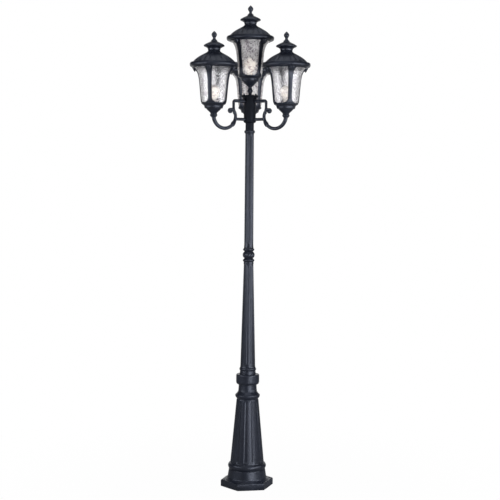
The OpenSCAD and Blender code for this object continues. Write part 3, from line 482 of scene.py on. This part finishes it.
# The two shafts: flutes between low and high, outside the inner radius
shaftFluting = {"count": 12, "turn": 23, "share": 0.42, "tip": 7 * mm}
lowerShaft = {"flutes": {**shaftFluting, "low": 601 * mm, "high": 1096 * mm, "depth": 1.5 * mm},
              "inner": 20 * mm, "corner": 1.2 * mm, "step": 7.5 * mm, "around": 240}
upperShaft = {"flutes": {**shaftFluting, "low": 1208 * mm, "high": 1749 * mm, "depth": 1.3 * mm},
              "inner": 18 * mm, "corner": 1 * mm, "step": 7.5 * mm, "around": 240}
lowerOutline = np.array([
    (31.2, 505), (40, 505), (40, 559), (39, 571), (38.5, 573), (40.5, 575.5), (42, 579.5), (41.7, 583),
    (39.5, 587), (38, 589.5), (37.2, 594), (37, 596), (24, 1104), (17, 1104), (17, 1060), (31.2, 580)]) * mm
upperOutline = np.array([
    (17, 1189), (23.75, 1189), (23.5, 1193), (22.9, 1201), (22.75, 1203), (21.5, 1757), (17, 1757)]) * mm


# A shaft is turned from its outline, its radius less the depth of the flutes.
def shaftSkin(outline, shaft):
    def change(radius, height, angle):
        return radius - fluteDepth(angle, height, shaft["flutes"]) * (radius > shaft["inner"]), height
    return lathe(outline, shaft, change)


makePiece("lowerShaft", [shaftSkin(lowerOutline, lowerShaft)], castPaint, "post", ["lower_shaft"])
makePiece("upperShaft", [shaftSkin(upperOutline, upperShaft)], castPaint, "post", ["upper_shaft"])

knuckle = {"lobes": 8, "middle": 1150 * mm, "halfHeight": 17 * mm, "groove": 0.13, "inner": 18 * mm,
           "ballCentre": 10 * mm, "ballRadius": 20 * mm, "ballDeg": 56, "ballSteps": 15,
           "corner": 0.8 * mm, "points": 3, "step": 3 * mm, "around": 256}


# The ball is parted into lobes: its radius shrinks by groove * (1 - sqrt|cos(n a / 2)|),
# fading out by a square root towards the ball's two ends.
def melonLobes(radius, height, angle):
    part = np.clip(1 - ((height - knuckle["middle"]) / knuckle["halfHeight"]) ** 2, 0, 1)
    cut = 1 - np.sqrt(abs(np.cos(knuckle["lobes"] * angle / 2)))
    return radius * (1 - knuckle["groove"] * cut * np.sqrt(part) * (radius > knuckle["inner"])), height


ballOutline = arc(knuckle["ballCentre"], knuckle["middle"], knuckle["ballRadius"],
                  -knuckle["ballDeg"], knuckle["ballDeg"], knuckle["ballSteps"])
knuckleOutline = np.vstack([
    np.array([(16.4, 1104), (25, 1104), (25.4, 1109), (24.4, 1113.5), (25.5, 1117), (28, 1119.5), (29, 1123),
              (28.3, 1126.5), (25.5, 1129), (23.5, 1130.5), (22.5, 1132.5)]) * mm, ballOutline,
    np.array([(22.3, 1168), (23.5, 1170), (25.5, 1171.5), (28, 1173.5), (28.6, 1177), (27.8, 1180),
              (25, 1182.5), (24, 1185.5), (23.75, 1189), (16.4, 1189)]) * mm])
makePiece("shaftKnuckle", [lathe(knuckleOutline, knuckle, melonLobes)], castPaint, "post",
          ["shaft_knuckle"], sharp=60)


# Plain turned pieces of the post: name, CAD node, corner, closed outline of radius and height
plainTurned = [
    ("baseCollar", "base_collar", 1.6, [
        (40.2, 505), (50, 505), (54.5, 508), (57.5, 515), (57.5, 551), (56, 554.4), (53, 555), (40.2, 555)]),
    ("shaftRing", "shaft_ring", 0.8, [
        (16.2, 1757), (23, 1757), (24.5, 1759), (26.3, 1761.5), (27, 1765), (26.3, 1768.5), (24.5, 1771),
        (23, 1773), (16.2, 1773)]),
    ("topStem", "top_stem", 0.9, [
        (5.2, 1946), (15, 1946), (14.4, 1948), (11, 1950), (8.5, 1952.5), (8, 1957), (9.2, 1960),
        (9.6, 1961.6), (12, 1963.5), (13.6, 1966.5), (14, 1969.5), (13.6, 1972.5), (12, 1976), (10, 1981),
        (9.6, 1986), (10.6, 1989.5), (13.5, 1992.5), (15.5, 1993.6), (15.5, 1995), (5.2, 1995)])]
for name, node, corner, outline in plainTurned:
    cut = {"corner": corner * mm, "step": 4 * mm, "around": 128}
    makePiece(name, [lathe(np.array(outline) * mm, cut)], castPaint, "post", [node])
print("column made")


# The arms: lines and radii of the tubes' middle lines, in the upright plane of each arm
arm = {"upperBar": 1917 * mm, "lowerBar": 1826 * mm, "barStart": 14 * mm, "barEnd": 84 * mm,
       "elbow": 9.25 * mm, "outer": 93 * mm, "inner": 82 * mm, "uprightLow": 1882 * mm,
       "scoopHeight": 1840 * mm, "scoopMiddle": 143.5 * mm, "scoopRadius": 61.5 * mm,
       "swayRadius": 42.84 * mm, "swayTurn": 29.35, "spigot": (15.8 * mm, 16.2 * mm), "endGrowth": 60 * mm,
       "widths": np.array([5.5, 5.5, 8.5, 8.3, 7.0, 6.6, 6.8, 7.6, 8.0, 9.2, 10.3]) * mm, "around": 32}
leaf = {"at": 221, "length": 26 * mm, "swell": 3.4 * mm, "lip": 1.6 * mm, "wave": 3.2 * mm,
        "past": 1.5 * mm, "lobes": 3, "ridges": 9}
curl = {"lead": np.array([[88.5, 1856], [90, 1876.5], [109, 1873.4]]) * mm, "eyeX": 112 * mm,
        "eyeZ": 1866.6 * mm, "eyeRadius": 7.1 * mm, "fromDeg": 108, "toDeg": -140,
        "shares": [0, 0.3, 0.75, 0.9, 1], "widths": np.array([7.6, 7.0, 5.8, 6.0, 6.6]) * mm}
lowerBar = {"stops": np.array([14, 29.9, 30.3, 34, 70, 84]) * mm,
            "widths": np.array([5.5, 5.5, 9.6, 7.7, 7.4, 7.8]) * mm}


# Radius along the main tube: spigot, bar, elbow, upright, then growing down the scroll
# and round the scoop. The leaf is a sheath that swells over its length and drops off at
# a lip, and the lip waves with the angle round the tube. The last number of each line or
# arc is its count of points.
def mainTube():
    elbow, swayRadius = arm["elbow"], arm["swayRadius"]
    bar = straight(arm["barStart"], arm["upperBar"], arm["outer"] - elbow, arm["upperBar"], 40)
    bend = arc(arm["outer"] - elbow, arm["upperBar"] - elbow, elbow, 90, 0, 12)
    upright = straight(arm["outer"], arm["upperBar"] - elbow, arm["outer"], arm["uprightLow"], 12)
    swayOne = arc(arm["outer"] - swayRadius, arm["uprightLow"], swayRadius, 0, -arm["swayTurn"], 12)
    swayTwo = arc(arm["inner"] + swayRadius, arm["scoopHeight"], swayRadius, 180 - arm["swayTurn"], 180, 12)
    scoop = arc(arm["scoopMiddle"], arm["scoopHeight"], arm["scoopRadius"], 180, 360, 150)
    path = np.vstack([bar, bend[1:], upright[1:], swayOne[1:], swayTwo[1:], scoop[1:]])
    along = np.concatenate([[0], np.cumsum(np.linalg.norm(np.diff(path, axis=0), axis=1))])
    barEnd, bendEnd, uprightEnd = along[np.cumsum([len(bar), len(bend) - 1, len(upright) - 1]) - 1]
    scoopStart = along[-1] - math.pi * arm["scoopRadius"]
    stops = [0, *arm["spigot"], barEnd, bendEnd, (bendEnd + uprightEnd) / 2, uprightEnd,
             (uprightEnd + scoopStart) / 2, scoopStart, along[-1] - arm["endGrowth"], along[-1]]
    centre, rings, width = tube(path, np.interp(along, stops, arm["widths"]), arm["around"])
    leafStart = scoopStart + math.radians(leaf["at"] - 180) * arm["scoopRadius"]
    before, beyond = np.full(endRings, -1), np.full(endRings, 2)  # the tube's ends have no leaf
    alongFull = np.concatenate([before, along, beyond])[:, None]
    angle = np.arange(arm["around"])[None, :] * tau / arm["around"]
    lip = leafStart + leaf["wave"] * np.cos(leaf["lobes"] * angle) + leaf["past"]
    swell = smoothStep(alongFull, leafStart - leaf["length"], leafStart)
    swell = swell * (1 - smoothStep(alongFull, lip, lip + leaf["lip"]))
    ridges = 0.75 + 0.25 * np.cos(leaf["ridges"] * angle)
    grown = 1 + leaf["swell"] * swell * ridges / width[:, None]
    return skin(centre[:, None] + (rings - centre[:, None]) * grown[..., None])


# The scroll: out of the main tube on a parabola between the lead's points, then over and
# down round a small circle, the eye, to a ball.
def curlTube():
    t = np.linspace(0, 1, 14)[:, None]
    a, b, c = curl["lead"]
    lead = (1 - t) ** 2 * a + 2 * t * (1 - t) * b + t ** 2 * c
    eye = arc(curl["eyeX"], curl["eyeZ"], curl["eyeRadius"], curl["fromDeg"], curl["toDeg"], 34)
    path = np.vstack([lead[:-1], eye])
    radius = np.interp(np.linspace(0, 1, len(path)), curl["shares"], curl["widths"])
    return skin(tube(path, radius, around=24, tip=1.0)[1])


# A level tube, its radius on straight lines between the widths at the stops.
def lowerBarTube():
    path = straight(arm["barStart"], arm["lowerBar"], arm["barEnd"], arm["lowerBar"], 36)
    return skin(tube(path, np.interp(path[:, 0], lowerBar["stops"], lowerBar["widths"]))[1])


armSkins = [mainTube(), curlTube(), lowerBarTube()]
for side, turnDeg in armTurns.items():
    makePiece("arm" + side.capitalize(), atPlace(armSkins, (0, 0, 0, turnDeg)), castPaint, "post",
              ["arm_" + side], sharp=60)
print("arms made")


# A lantern stands on its own zero height. The cage's outer radius grows straight from the
# bowl's and flares by a ninth power, less what its foot draws in at the bottom.
bowl = {"radius": 64 * mm, "height": 48 * mm, "drawn": 3.4 * mm, "drawnOver": 20 * mm}
window = {"height": 174 * mm, "taper": 16 * mm, "flare": 22 * mm, "corner": 23 * mm, "cornerWide": 29 * mm}


def cageRadius(height):
    share = np.clip((height - bowl["height"]) / window["height"], 0, 1)
    drawn = np.clip(1 - (height - bowl["height"]) / bowl["drawnOver"], 0, 1)
    return (bowl["radius"] + window["taper"] * share + window["flare"] * share ** 9
            - bowl["drawn"] * drawn ** 2)


bowlOutline = np.array([
    (5.2, 0), (17, 0), (18.5, 2), (22.5, 5.6), (26.5, 9.2), (30.5, 13), (34, 16.6), (36, 19), (37, 20.8),
    (40, 21.6), (43, 21.9), (44.6, 24), (45.6, 28), (47, 33), (48.4, 36.2), (50.4, 38), (53, 39.4), (56, 41.2),
    (58.4, 43.2), (59.8, 45), (60.5, 46.6), (60.7, 48), (57, 48), (56.8, 45), (51, 45), (44.5, 37),
    (41, 26.5), (32, 24), (18, 7), (5.2, 7)]) * mm
flangeOutline = np.array([
    (98.6, 223), (99.2, 220.6), (101, 220.2), (102.4, 221.4), (103.6, 222.6), (106, 224.8), (108.6, 227.2),
    (109.8, 228.8), (110, 230), (110, 231), (98.6, 231)]) * mm


# A rib is a band on the cage's surface. Across it a point is (w(h) c(u), t/2 s(u)), where
# c and s are cosine and sine drawn out towards a square by the power given, and w(h) is
# the half width: a quarter of an ellipse at the window's lower corner, then straight,
# and wider at the top by the widening over heights, both in millimetres.
rib = {"width": 20.5 * mm, "thickness": 4.4 * mm, "power": 0.3, "sunk": 0.35 * mm, "around": 28,
       "heights": [0, 95, 125, 152, 165, 175], "widening": [0, 0.4, 1.5, 4.5, 9, 14]}


def ribSkin(turnDeg):
    height = np.concatenate([[-3.0], np.linspace(-1.0, 22, 24), np.linspace(26, 140, 24),
                             np.linspace(144, 175, 18)]) * mm
    drop = np.clip(1 - np.maximum(height, 0) / window["corner"], 0, 1)
    half = rib["width"] / 2 + window["cornerWide"] * (1 - np.sqrt(1 - drop ** 2))
    half += np.interp(height / mm, rib["heights"], rib["widening"]) * mm
    level = bowl["height"] + height
    surface = cageRadius(level)
    angle = np.arange(rib["around"]) * tau / rib["around"]
    squareCos, squareSin = (np.sign(wave) * abs(wave) ** rib["power"]
                            for wave in (np.cos(angle), np.sin(angle)))
    # Its foot is sunk a little into the bowl, and its head leans out to the flange
    middle = surface - rib["sunk"] * (height < 0) + np.clip(height - window["height"], 0, None)
    radius = middle[:, None] - rib["thickness"] / 2 * (1 - squareSin)
    turn = math.radians(turnDeg) + half[:, None] * squareCos / surface[:, None]
    return skin(np.stack([radius * np.cos(turn), radius * np.sin(turn), level[:, None] + 0 * turn], -1))


# A claw of leaf hangs under the rim at each rib. Its outline in radius and height is
# drawn together towards its root as the leaf's half width is reached, with three lobes.
clawOutline = np.array([
    (98, 223), (104, 224.8), (112.5, 225.2), (111.5, 221.5), (107.5, 214.5), (103.5, 207.5),
    (101.4, 203.4), (99.2, 202.2), (97.8, 204), (98.8, 208.4), (97, 211.4), (92.5, 209), (87, 201),
    (84.5, 203), (92, 216)]) * mm
claw = {"half": 13.5 * mm, "root": np.array([101, 221]) * mm, "corner": 1.4 * mm, "step": 2 * mm}


def clawSkin(turnDeg):
    across = np.sin(np.linspace(-0.5, 0.5, 23)[1:-1] * math.pi)
    shrink = (1 - across ** 2) ** 0.4 * (0.9 + 0.1 * np.cos(3 * math.pi * across))
    outline = refine(soften(clawOutline, claw["corner"], 3), claw["step"])
    plane = claw["root"] + (outline - claw["root"]) * shrink[:, None, None]
    turn = math.radians(turnDeg)
    along, aside = across[:, None] * claw["half"], plane[..., 0]
    return skin(np.stack([aside * math.cos(turn) - along * math.sin(turn),
                          aside * math.sin(turn) + along * math.cos(turn), plane[..., 1]], -1))


# One casting: the bowl and the flange turned from their outlines, with a rib and a claw at
# each of the four corners.
def cageSkins():
    cut = {"points": 3, "step": 4 * mm, "around": 144}
    skins = [lathe(bowlOutline, {**cut, "corner": 1.1 * mm}),
             lathe(flangeOutline, {**cut, "corner": 0.7 * mm})]
    for turnDeg in (45, 135, 225, 315):
        skins += [ribSkin(turnDeg), clawSkin(turnDeg)]
    return skins


# Bell of drawn glass: the wall follows the cage, and both faces wave by a sum of sines
# in angle and height with mixed periods, all inwards of the plain wall but for the
# highest crests. The waves fade at the two edges.
glass = {"gap": 4.5 * mm, "thickness": 3 * mm, "ripple": 0.2475 * mm, "inwards": 1.6, "waves": 9,
         "around": 160, "low": 52 * mm, "high": 219 * mm, "fade": 8 * mm}


def glassSkin(seed):
    height = np.concatenate([np.linspace(47, 190, 60), np.linspace(192, 222, 20)]) * mm
    outer = cageRadius(height) - glass["gap"]
    inner = outer - glass["thickness"]
    outline = np.vstack([np.stack([outer, height], -1), np.stack([inner, height], -1)[::-1]])
    waves = np.random.default_rng(seed).uniform(0, tau, (glass["waves"], 3))

    def change(radius, level, angle):
        part = np.clip((level - glass["low"]) / glass["fade"], 0, 1)
        part = part * np.clip((glass["high"] - level) / glass["fade"], 0, 1)
        shift = glass["inwards"]
        for k, (a, b, c) in enumerate(waves):
            aroundWave = np.sin((3 + 2 * k) * angle + a + 1.7 * np.sin(level / mm / 23 + b))
            upWave = np.sin(level / mm / (26 - 1.8 * k) + c + 1.3 * np.sin(2 * angle + b))
            shift = shift + aroundWave * upWave / (1 + 0.22 * k)
        return radius - glass["ripple"] * shift * part, level
    return skin(turned(outline, glass["around"], change), wrap=True)


# The roof's skin falls from the neck to the rim by roofFall at the share w of the way out:
# a quick drop at the neck, a straight fall and a fourth power near the rim. The petals
# are hollows between ridges, with round ends near the neck and the rim, low, high and
# tip being shares of w. A lug is a swell of the rim, out and up. Under the skin the inner
# face runs a wall further in and down.
roof = {"neck": 29 * mm, "low": 247.5 * mm, "rise": 60 * mm, "edge": 106 * mm, "bore": 4.6 * mm,
        "wall": np.array([2.2, 3.5]) * mm, "wallTo": 100 * mm, "step": 3.6 * mm, "around": 432}
petals = {"count": 24, "turn": 0, "share": 0.9, "depth": 4.6 * mm, "tip": 0.13, "low": 0.05, "high": 0.97}
lug = {"turn": 45, "radius": 119 * mm, "half": 7 * mm, "end": 14 * mm, "out": 1.4 * mm, "up": 1.2 * mm,
       "outBetween": (111 * mm, 118 * mm), "upBetween": (236 * mm, 244 * mm)}


def roofFall(w):
    return roof["rise"] * (0.12 * (1 - np.exp(-w / 0.03)) + 0.66 * w + 0.22 * w ** 4)


def roofSkin():
    share = np.array([0, 0.02, 0.05, 0.08, 0.12, 0.18, 0.26, 0.34, 0.42, 0.5, 0.58, 0.66, 0.74, 0.8, 0.86,
                      0.9, 0.94, 0.97, 1.0])
    outward, peak = roof["edge"] - roof["neck"], roof["low"] + roof["rise"]
    top = np.stack([roof["neck"] + outward * share, peak - roofFall(share)], -1)
    rim = np.array([
        (111.5, 247.3), (115, 246.4), (118, 243.8), (119, 240), (119, 233.5), (118.2, 230.3), (116, 227.2),
        (113.8, 226), (110.35, 226), (110.3, 231.3), (105.2, 231.5), (105, 237)]) * mm
    under = top[top[:, 0] < roof["wallTo"]][::-1] - roof["wall"]
    neckTop, neckUnder = (roof["bore"], peak), (roof["bore"], peak - roof["wall"][1])
    outline = refine(np.vstack([[neckTop], top, rim, under, [neckUnder]]), roof["step"])

    def change(radius, height, angle):
        w = (radius - roof["neck"]) / outward
        onTop = (height > peak - roofFall(np.clip(w, 0, 1)) - 1 * mm) & (w > 0.03) & (w < 1)
        height = height - fluteDepth(angle, w, petals) * onTop * (0.45 + 0.55 * np.clip(w, 0, 1))
        offset = (angle - math.radians(lug["turn"]) + tau / 8) % (tau / 4) - tau / 8
        part = 1 - smoothStep(abs(offset) * lug["radius"], lug["half"], lug["end"])
        swell = part * smoothStep(radius, *lug["outBetween"])
        height = height + lug["up"] * swell * smoothStep(height, *lug["upBetween"])
        return radius + lug["out"] * swell, height
    return skin(turned(outline, roof["around"], change), wrap=True)


crownOutline = np.array([
    (26, 307.5), (30, 307.5), (30.6, 309), (31, 312), (32, 315.5), (34.5, 318.6), (38, 321), (43, 323.4),
    (47.6, 325), (50.6, 326.8), (51.5, 329.2), (51, 331.8), (48, 334.2), (44, 336.8), (38, 340.2),
    (32, 343), (25.5, 346.2), (21.5, 348.2), (18, 350.2), (15.4, 351.5), (4.5, 351.5), (4.5, 343.5),
    (20.6, 340), (39, 332), (43, 329), (29, 320.7), (27, 314.5)]) * mm
finialOutline = np.array([
    (0.01, 351.8), (15, 351.8), (15.1, 354.6), (14, 356.8), (11, 359), (8.4, 361.6), (7.2, 364.6),
    (6.8, 367.6), (7.8, 370.6), (9.7, 373.8), (11.9, 377.4), (13.1, 381), (13.5, 384), (12.9, 387.4),
    (10.9, 391.2), (8.1, 394.8), (5.4, 397.6), (3.1, 400), (1.6, 401.4), (0.01, 401.8)]) * mm
socketOutline = np.array([
    (5.2, 15), (12, 15), (15, 17.5), (17, 22), (18, 24), (18, 38), (17.2, 39), (17.2, 41), (18, 42), (18, 56),
    (17, 57), (13.5, 57), (13.5, 31.7), (5.2, 31.7)]) * mm
bulbNeck = np.array([
    (12.6, 57), (12.9, 60), (14.2, 64), (16.6, 69.5), (19.4, 75), (22.4, 81), (25.4, 87.5), (25.6, 88.4)]) * mm


# The bulb: its neck and a ball, then back down the inner face at a share of the radius.
bulb = {"middle": 107 * mm, "radius": 30 * mm, "fromDeg": -38, "toDeg": 89.9, "inner": (0.962, 1),
        "innerDrop": 0.2 * mm, "around": 96}


def bulbSkin():
    ball = arc(0, bulb["middle"], bulb["radius"], bulb["fromDeg"], bulb["toDeg"], 22)
    outer = np.vstack([bulbNeck, ball[1:]])
    inner = outer[::-1] * bulb["inner"] - (0, bulb["innerDrop"])
    inner[:, 0] = np.maximum(inner[:, 0], 0.01 * mm)
    return skin(turned(np.vstack([outer, inner]), bulb["around"]), wrap=True)


# Threads of the cap: between threadLow and threadHigh the radius waves with height and
# angle, so the ridges climb. They fade over run at both ends.
cap = {"low": 32 * mm, "tall": 25 * mm, "pitch": 3.6 * mm, "thread": 0.55 * mm, "threadLow": 37 * mm,
       "threadHigh": 55 * mm, "run": 1.5 * mm, "steps": 90, "around": 72}


def capSkin():
    share = np.linspace(0, 1, cap["steps"])
    radius = np.interp(share, [0, 0.02, 0.06, 0.14, 0.16, 1], [0.3, 4.5, 5.5, 10.5, 12.2, 12.6]) * mm

    def change(radius, height, angle):
        part = smoothStep(height, cap["threadLow"], cap["threadLow"] + cap["run"])
        part = part * (1 - smoothStep(height, cap["threadHigh"] - cap["run"], cap["threadHigh"]))
        wave = 0.5 + 0.5 * np.cos(tau * height / cap["pitch"] - angle)
        return radius + part * cap["thread"] * wave, height
    return skin(turned(np.stack([radius, cap["low"] + cap["tall"] * share], -1), cap["around"], change))


# Glass foot, two wires and a coiled filament inside the bulb, as thin tubes. The coil
# runs along X and rises in the middle.
coil = {"span": 26 * mm, "radius": 0.9 * mm, "turns": 30, "height": 104 * mm, "rise": 2.5 * mm,
        "steps": 240, "wire": 0.18 * mm, "around": 6}


def filamentSkins():
    stem = np.array([(0.01, 57.5), (5, 57.5), (4.4, 62), (2.4, 76), (2.2, 90), (0.01, 90.5)]) * mm
    t = np.linspace(0, 1, coil["steps"])
    wind = tau * coil["turns"] * t
    level = coil["height"] + coil["rise"] * np.sin(math.pi * t) + coil["radius"] * np.cos(wind)
    wires = [np.stack([(t - 0.5) * coil["span"], coil["radius"] * np.sin(wind), level], -1)]
    t = t[::6]
    for side in (-1, 1):
        wires.append(np.stack([side * (2 + 11 * t ** 1.5) * mm, 0 * t, (88 + 16 * t) * mm], -1))
    skins = [skin(turned(refine(stem, 3 * mm), 24))]
    angle = (np.arange(coil["around"]) * tau / coil["around"])[None, :, None]
    for wire in wires:
        heading = np.gradient(wire, axis=0)
        heading /= np.linalg.norm(heading, axis=1, keepdims=True)
        side = np.cross(heading, [0.3, 1.0, 0.2])
        side /= np.linalg.norm(side, axis=1, keepdims=True)
        up = np.cross(heading, side)
        ring = np.cos(angle) * side[:, None] + np.sin(angle) * up[:, None]
        skins.append(skin(wire[:, None] + coil["wire"] * ring))
    return skins


commonCage, commonRoof, commonBulb, commonCap = cageSkins(), [roofSkin()], [bulbSkin()], [capSkin()]
commonCrown = [lathe(crownOutline, {"corner": 0.8 * mm, "points": 3, "step": 3 * mm, "around": 128})]
commonFinial = [lathe(finialOutline, {"corner": 0.6 * mm, "points": 3, "step": 2 * mm, "around": 64})]
commonSocket = [lathe(socketOutline, {"corner": 0.6 * mm, "points": 3, "step": 4 * mm, "around": 96})]
commonFilament = filamentSkins()
for number, (side, place) in enumerate(lanterns.items()):
    shade = [glassSkin(7 + number)]
    shadeGlass = deepGlass if side in ("top", "back") else rippledGlass
    ballGlass = paintedGlowBulb if side == "top" else bulbGlass
    lid, knob, lamp = "lid_" + side, "knob_" + side, "lamp_" + side
    # Name, skins, material, body, slot, CAD node without its side, angle that stays sharp
    for name, skins, material, body, slot, node, sharp in (
            ("cage", commonCage, castPaint, "post", "cast_paint", "cage_", 38),
            ("shade", shade, shadeGlass, "post", "shade_glass", "shade_", 38),
            ("socket", commonSocket, socketWhite, "post", "socket_ceramic", "socket_", 38),
            ("roof", commonRoof, castPaint, lid, "cast_paint", "roof_", 50),
            ("crown", commonCrown, castPaint, lid, "cast_paint", "crown_", 38),
            ("finial", commonFinial, castPaint, knob, "cast_paint", "finial_", 38),
            ("bulb", commonBulb, ballGlass, lamp, "bulb_glass", "bulb_glass_", 38),
            ("bulbCap", commonCap, capBrass, lamp, "cap_brass", "bulb_cap_", 60),
            ("filament", commonFilament, zincSteel, lamp, "zinc_steel", None, 38)):
        makePiece(name + side.capitalize(), atPlace(skins, place), material, body,
                  [node + side] if node else (), sharp)
print("lanterns made")


# The world and the floor are white for the camera and behind clear glass. Gloss shows that
# white backdrop where it stands, behind the post, and the dim room in front of it.
studio = {"fill": 0.4, "room": 0.04, "backdrop": (0.72, 1.0), "floorSize": 14, "floorNear": 0.985,
          "floorFade": (0.2, 1.8), "floorBackdrop": (4.0, 10.0)}


# 1 for a ray of one of the kinds given, else 0.
def seenBy(tree, labels):
    paths = nodeOf(tree, "ShaderNodeLightPath", -900, 500)
    total = paths.outputs[labels[0]]
    for label in labels[1:]:
        either = nodeOf(tree, "ShaderNodeMath", -650, 500, operation="MAXIMUM")
        tree.links.new(total, either.inputs[0])
        tree.links.new(paths.outputs[label], either.inputs[1])
        total = either.outputs[0]
    return total


def makeWorld():
    world = bpy.data.worlds.new("studio")
    bpy.context.scene.world = world
    world.use_nodes = True
    tree = world.node_tree
    tree.nodes.clear()
    fill, room, white = (
        nodeOf(tree, "ShaderNodeBackground", -200, 0, Color=(*colour, 1), Strength=strength).outputs[0]
        for colour, strength in (((0.93, 0.96, 1), studio["fill"]), ((0.9, 0.95, 1), studio["room"]),
                                 ((1, 1, 1), 1.0)))
    direction = nodeOf(tree, "ShaderNodeTexCoord", -1100, 0)
    parts = nodeOf(tree, "ShaderNodeSeparateXYZ", -900, 0)
    tree.links.new(direction.outputs["Generated"], parts.inputs[0])
    behind = ranged(tree, parts.outputs["Y"], *studio["backdrop"], ease="SMOOTHSTEP")
    shade = mixShaders(tree, seenBy(tree, ["Is Glossy Ray"]), fill, mixShaders(tree, behind, room, white))
    shade = mixShaders(tree, seenBy(tree, ["Is Camera Ray", "Is Transmission Ray"]), shade, white)
    tree.links.new(shade, nodeOf(tree, "ShaderNodeOutputWorld", 400, 0).inputs["Surface"])


def makeFloor():
    size = studio["floorSize"]
    mesh = bpy.data.meshes.new("studioFloor")
    corners = [(-size, -size, 0), (size, -size, 0), (size, size, 0), (-size, size, 0)]
    mesh.from_pydata(corners, [], [(0, 1, 2, 3)])
    material, tree, shader, coords = newMaterial("floorWhite")
    setInputs(shader, {"Base Color": (0.3, 0.3, 0.3, 1), "Roughness": 0.9, "Specular IOR Level": 0.2})
    plain = shader.outputs[0]
    white = nodeOf(tree, "ShaderNodeEmission", -200, -300, Color=(1, 1, 1, 1)).outputs[0]
    distance = nodeOf(tree, "ShaderNodeVectorMath", -700, -500, operation="LENGTH")
    parts = nodeOf(tree, "ShaderNodeSeparateXYZ", -900, -800)
    for node in (distance, parts):
        tree.links.new(coords.outputs["Object"], node.inputs[0])
    fade = ranged(tree, distance.outputs["Value"], *studio["floorFade"], studio["floorNear"],
                  ease="SMOOTHSTEP")
    behind = ranged(tree, parts.outputs["Y"], *studio["floorBackdrop"], ease="SMOOTHSTEP")
    shade = mixShaders(tree, seenBy(tree, ["Is Glossy Ray"]), plain, mixShaders(tree, behind, plain, white))
    shade = mixShaders(tree, seenBy(tree, ["Is Camera Ray", "Is Transmission Ray"]), shade,
                       mixShaders(tree, fade, plain, white))
    tree.links.new(shade, tree.nodes["Material Output"].inputs["Surface"])
    mesh.materials.append(material)
    floor = bpy.data.objects.new("studioFloor", mesh)
    bpy.context.scene.collection.objects.link(floor)


# A soft box stands the given angle round from the camera's side, to the right where it is
# positive, and raised by upDeg about its aim, a point on the post's axis that it faces.
# Its glow is the brightness of its face.
def softBox(name, box):
    data = bpy.data.lights.new(name, "AREA")
    data.shape = "RECTANGLE"
    data.size, data.size_y = box["width"], box["tall"]
    data.energy = box["glow"] * math.pi * data.size * data.size_y
    data.color = (0.95, 0.97, 1)
    turn, up = math.radians(box["turnDeg"]), math.radians(box["upDeg"])
    out = box["away"] * math.cos(up)
    lamp = bpy.data.objects.new(name, data)
    lamp.location = (out * math.sin(turn), -out * math.cos(turn), box["aim"] + box["away"] * math.sin(up))
    lamp.rotation_euler = (math.radians(90) - up, 0, turn)
    bpy.context.scene.collection.objects.link(lamp)


boxKeys = ("turnDeg", "upDeg", "away", "aim", "tall", "width", "glow")
softBoxes = {
    "boxRight": (60, 0, 3.0, 1.375, 1.15, 2.8, 4.4),
    "boxLow": (28, 0, 3.2, 0.425, 0.85, 1.9, 4.8),
    "boxLeft": (-62, 0, 3.0, 1.45, 1.0, 2.6, 4.0),
    "boxFront": (0, 0, 3.4, 2.75, 0.8, 3.2, 1.2),
    "boxHigh": (0, 62, 2.6, 2.0, 0.9, 3.2, 1.8),
    "boxTop": (0, 100, 2.4, 2.1, 1.6, 2.6, 0.7)}
makeWorld()
makeFloor()
for name, values in softBoxes.items():
    softBox(name, dict(zip(boxKeys, values)))

view = {"distance": 5.750, "height": 1.4842, "aside": 0.004, "lens": 82.8, "shift": -0.124,
        "rollDeg": -0.46}
cameraData = bpy.data.cameras.new("photoView")
cameraData.lens = view["lens"]
cameraData.sensor_width = 36
cameraData.shift_y = view["shift"]
cameraData.clip_end = 100
camera = bpy.data.objects.new("photoView", cameraData)
camera.location = (view["aside"], -view["distance"], view["height"])
camera.rotation_euler = (math.radians(90), math.radians(view["rollDeg"]), 0)
bpy.context.scene.collection.objects.link(camera)
bpy.context.scene.camera = camera
bpy.context.scene.view_settings.view_transform = "Standard"
print("stage, light and camera made")
